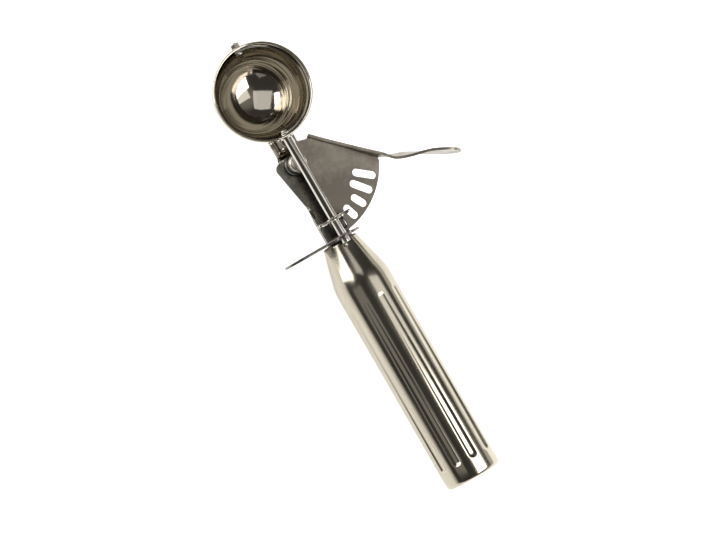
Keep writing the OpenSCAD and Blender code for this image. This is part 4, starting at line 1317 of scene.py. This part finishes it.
class SCOOP_OT_neck_plug(Operator):
    """Finishes the cast plug in the neck and the rivet across it, which keep their own shape."""
    bl_idname = "scoop.neck_plug"
    bl_label = "Neck plug"

    def execute(self, context):
        finish = steels(context)
        for node, name in (("neck_plug", "cast_plug"), ("tang_rivet", "turned_steel")):
            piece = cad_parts[node]
            for slot in piece.material_slots:
                slot.material = finish[name]
        return {"FINISHED"}


# ---------------------------------------------------------------- studio

class SCOOP_OT_studio(Operator):
    """Pale floor, soft lights, a pale room with a dark ceiling, and the camera."""
    bl_idname = "scoop.studio"
    bl_label = "Studio"

    TILT = radians(13.5)        # of the camera against the vertical, away from the lever
    ROLL = radians(29.88)       # of the scoop in the view
    DISTANCE = 3.0
    WIDTH = 0.303               # of the view at the scoop
    AIM = (0.8 * MM, 100.7 * MM)                # across and along the scoop
    BOWL = Vector((0, 186 * MM, 11.5 * MM))     # place in the bowl that the softboxes hang round
    FLOOR_SIZE, FLOOR_LIFT = 8, 0.72            # the second is the light that is added where it is seen
    ROOM_TINT = (1, 0.98, 0.95, 1)
    WALL_LIGHT, CEILING_LIGHT, GLOW_LIGHT = 0.85, 0.065, 0.3
    WALL_TOP, WALL_TOP_SIDE, WALL_FADE = 0.1, 0.3, 0.04     # heights, the second at the lever's side
    SIDE_START, SIDE_FULL = 0.3, 0.9            # towards the lever, where the wall begins to rise
    GLOW_ACROSS, GLOW_ALONG, GLOW_SPREAD = 0.9, -0.25, radians(36)     # its slopes, half its width
    # Of each softbox: its roll, the slopes across and along that it lies between, as seen from the
    # bowl, its distance and its radiance.
    SOFTBOXES = {
        "left_window": (radians(20), (-6, -0.58), (0.08, 2.6), 0.9, 4.2),
        "left_card": (0, (-1.3, -0.3), (-1.9, -0.8), 0.1, 0.3),
        "right_window": (0, (0.4, 2), (-2, -0.57), 0.27, 5.6),
        "right_sheer": (0, (0.55, 2.2), (-0.57, -0.1), 0.27, 1.1),
        "top_panel": (ROLL, (-0.5, 0.4), (-0.12, 0.88), 0.13, 0.94),
    }

    def axes(self, roll):
        """The camera's view axis, and the directions to the right and up when it is rolled."""
        view = Vector((-sin(self.TILT), 0, cos(self.TILT)))
        across = Y.cross(view)
        return view, across * cos(roll) - Y * sin(roll), across * sin(roll) + Y * cos(roll)

    def hang(self, data, roll, place):
        """Adds a light or camera that looks down the view axis from a place, rolled about it."""
        view, right, up = self.axes(roll)
        item = bpy.data.objects.new(data.name, data)
        item.matrix_world = (Matrix.Translation(place)
                             @ Matrix((right, up, view)).transposed().to_4x4())
        bpy.context.scene.collection.objects.link(item)
        return item

    def floor(self, context):
        """A matt pale floor that is lifted to white where it is seen, and keeps a soft shadow."""
        object_mode()
        bpy.ops.mesh.primitive_plane_add(size=self.FLOOR_SIZE, location=(0, 0.1, CAD_BOX[0].z))
        plane = bpy.context.object
        plane.name = "studio_floor"
        material = bpy.data.materials.new("matt_floor_paint")
        material.use_nodes = True
        tree = material.node_tree
        tree.nodes.clear()
        path = add_node(tree, "ShaderNodeLightPath", {})
        seen = path.outputs["Is Camera Ray"]
        for ray in ("Is Glossy Ray", "Is Transmission Ray"):
            seen = add_node(tree, "ShaderNodeMath", {0: seen, 1: path.outputs[ray]},
                            operation="MAXIMUM").outputs[0]
        lift = add_node(tree, "ShaderNodeMath", {0: seen, 1: self.FLOOR_LIFT},
                        operation="MULTIPLY")
        paint = add_node(tree, "ShaderNodeBsdfDiffuse",
                         {"Color": (*context.scene.scoop_finish.floor, 1)})
        glow = add_node(tree, "ShaderNodeEmission", {"Color": (1, 1, 1, 1),
                                                     "Strength": lift.outputs[0]})
        both = add_node(tree, "ShaderNodeAddShader", {0: paint.outputs[0], 1: glow.outputs[0]})
        add_node(tree, "ShaderNodeOutputMaterial", {"Surface": both.outputs[0]})
        plane.data.materials.append(material)

    def softbox(self, name, roll, aside, along, distance, radiance):
        """A soft panel that hangs parallel to the view, between two slopes each way from the bowl.

        Its sides are turned by roll from the lines across and along the handle.
        """
        view, right, up = self.axes(roll)
        wide, high = distance * (aside[1] - aside[0]), distance * (along[1] - along[0])
        way = view + right * sum(aside) / 2 + up * sum(along) / 2
        data = bpy.data.lights.new(name, "AREA")
        data.shape, data.size, data.size_y = "RECTANGLE", wide, high
        data.energy = radiance * pi * wide * high
        light = self.hang(data, roll, self.BOWL + way * distance)
        light.visible_camera = False

    def room(self):
        """A room that is pale near the floor and dark above, with a glow on the lever's side."""
        world = bpy.data.worlds.new("studio_room")
        bpy.context.scene.world = world
        world.use_nodes = True
        tree = world.node_tree
        tree.nodes.clear()
        way = add_node(tree, "ShaderNodeTexCoord", {}).outputs["Generated"]
        parts = add_node(tree, "ShaderNodeSeparateXYZ", {0: way})
        side = add_node(tree, "ShaderNodeMapRange",
                        {"Value": parts.outputs["X"], "From Min": self.SIDE_START,
                         "From Max": self.SIDE_FULL, "To Min": self.WALL_TOP,
                         "To Max": self.WALL_TOP_SIDE},
                        interpolation_type="SMOOTHSTEP")
        top = add_node(tree, "ShaderNodeMath", {0: side.outputs[0], 1: self.WALL_FADE},
                       operation="ADD")
        wall = add_node(tree, "ShaderNodeMapRange",
                        {"Value": parts.outputs["Z"], "From Min": side.outputs[0],
                         "From Max": top.outputs[0], "To Min": self.WALL_LIGHT, "To Max": 0},
                        interpolation_type="SMOOTHSTEP")
        view, across, along = self.axes(0)
        glow_way = view + across * self.GLOW_ACROSS + along * self.GLOW_ALONG
        near = add_node(tree, "ShaderNodeVectorMath", {0: way, 1: glow_way.normalized()},
                        operation="DOT_PRODUCT")
        glow = add_node(tree, "ShaderNodeMapRange",
                        {"Value": near.outputs["Value"], "From Min": cos(self.GLOW_SPREAD),
                         "From Max": 1, "To Min": self.CEILING_LIGHT, "To Max": self.GLOW_LIGHT},
                        interpolation_type="SMOOTHSTEP")
        bright = add_node(tree, "ShaderNodeMath", {0: wall.outputs[0], 1: glow.outputs[0]},
                          operation="MAXIMUM")
        sky = add_node(tree, "ShaderNodeBackground",
                       {"Color": self.ROOM_TINT, "Strength": bright.outputs[0]})
        add_node(tree, "ShaderNodeOutputWorld", {"Surface": sky.outputs[0]})

    def camera(self, context):
        """The camera, far off, so that the view is nearly without perspective."""
        view = self.axes(self.ROLL)[0]
        data = bpy.data.cameras.new("studio_camera")
        data.lens = data.sensor_width * self.DISTANCE / self.WIDTH
        data.clip_start, data.clip_end = 0.01, 20
        aim = Y.cross(view) * self.AIM[0] + Y * self.AIM[1]
        context.scene.camera = self.hang(data, self.ROLL, aim + view * self.DISTANCE)

    def execute(self, context):
        context.scene.view_settings.view_transform = "Standard"
        self.floor(context)
        self.room()
        for name, place_and_light in self.SOFTBOXES.items():
            self.softbox(name, *place_and_light)
        self.camera(context)
        return {"FINISHED"}


# ---------------------------------------------------------------- panel and registration

OPERATORS = (
    SCOOP_OT_handle, SCOOP_OT_neck_plug, SCOOP_OT_finger_guard, SCOOP_OT_frame, SCOOP_OT_bowl,
    SCOOP_OT_bowl_fittings, SCOOP_OT_sweep_blade, SCOOP_OT_blade_rod, SCOOP_OT_star_pinion,
    SCOOP_OT_lever, SCOOP_OT_pivot, SCOOP_OT_return_spring, SCOOP_OT_pins, SCOOP_OT_studio,
)


class SCOOP_PT_sidebar(Panel):
    """Lists the scoop's operators and sizes."""
    bl_idname = "SCOOP_PT_sidebar"
    bl_label = "Ice Cream Scoop"
    bl_space_type = "VIEW_3D"
    bl_region_type = "UI"
    bl_category = "Scoop"

    def draw(self, context):
        for operator in OPERATORS:
            self.layout.operator(operator.bl_idname)
        for name, group in GROUPS.items():
            box = self.layout.box()
            box.label(text=group.__doc__)
            for key in group.__annotations__:
                box.prop(getattr(context.scene, name), key)


CLASSES = (*GROUPS.values(), *OPERATORS, SCOOP_PT_sidebar)


def register():
    for item in CLASSES:
        bpy.utils.register_class(item)
    for name, group in GROUPS.items():
        setattr(bpy.types.Scene, name, PointerProperty(type=group))


def unregister():
    for name in GROUPS:
        delattr(bpy.types.Scene, name)
    for item in reversed(CLASSES):
        bpy.utils.unregister_class(item)


def main():
    register()
    for operator in OPERATORS:
        family, name = operator.bl_idname.split(".")
        getattr(getattr(bpy.ops, family), name)()


if __name__ == "__main__":
    main()
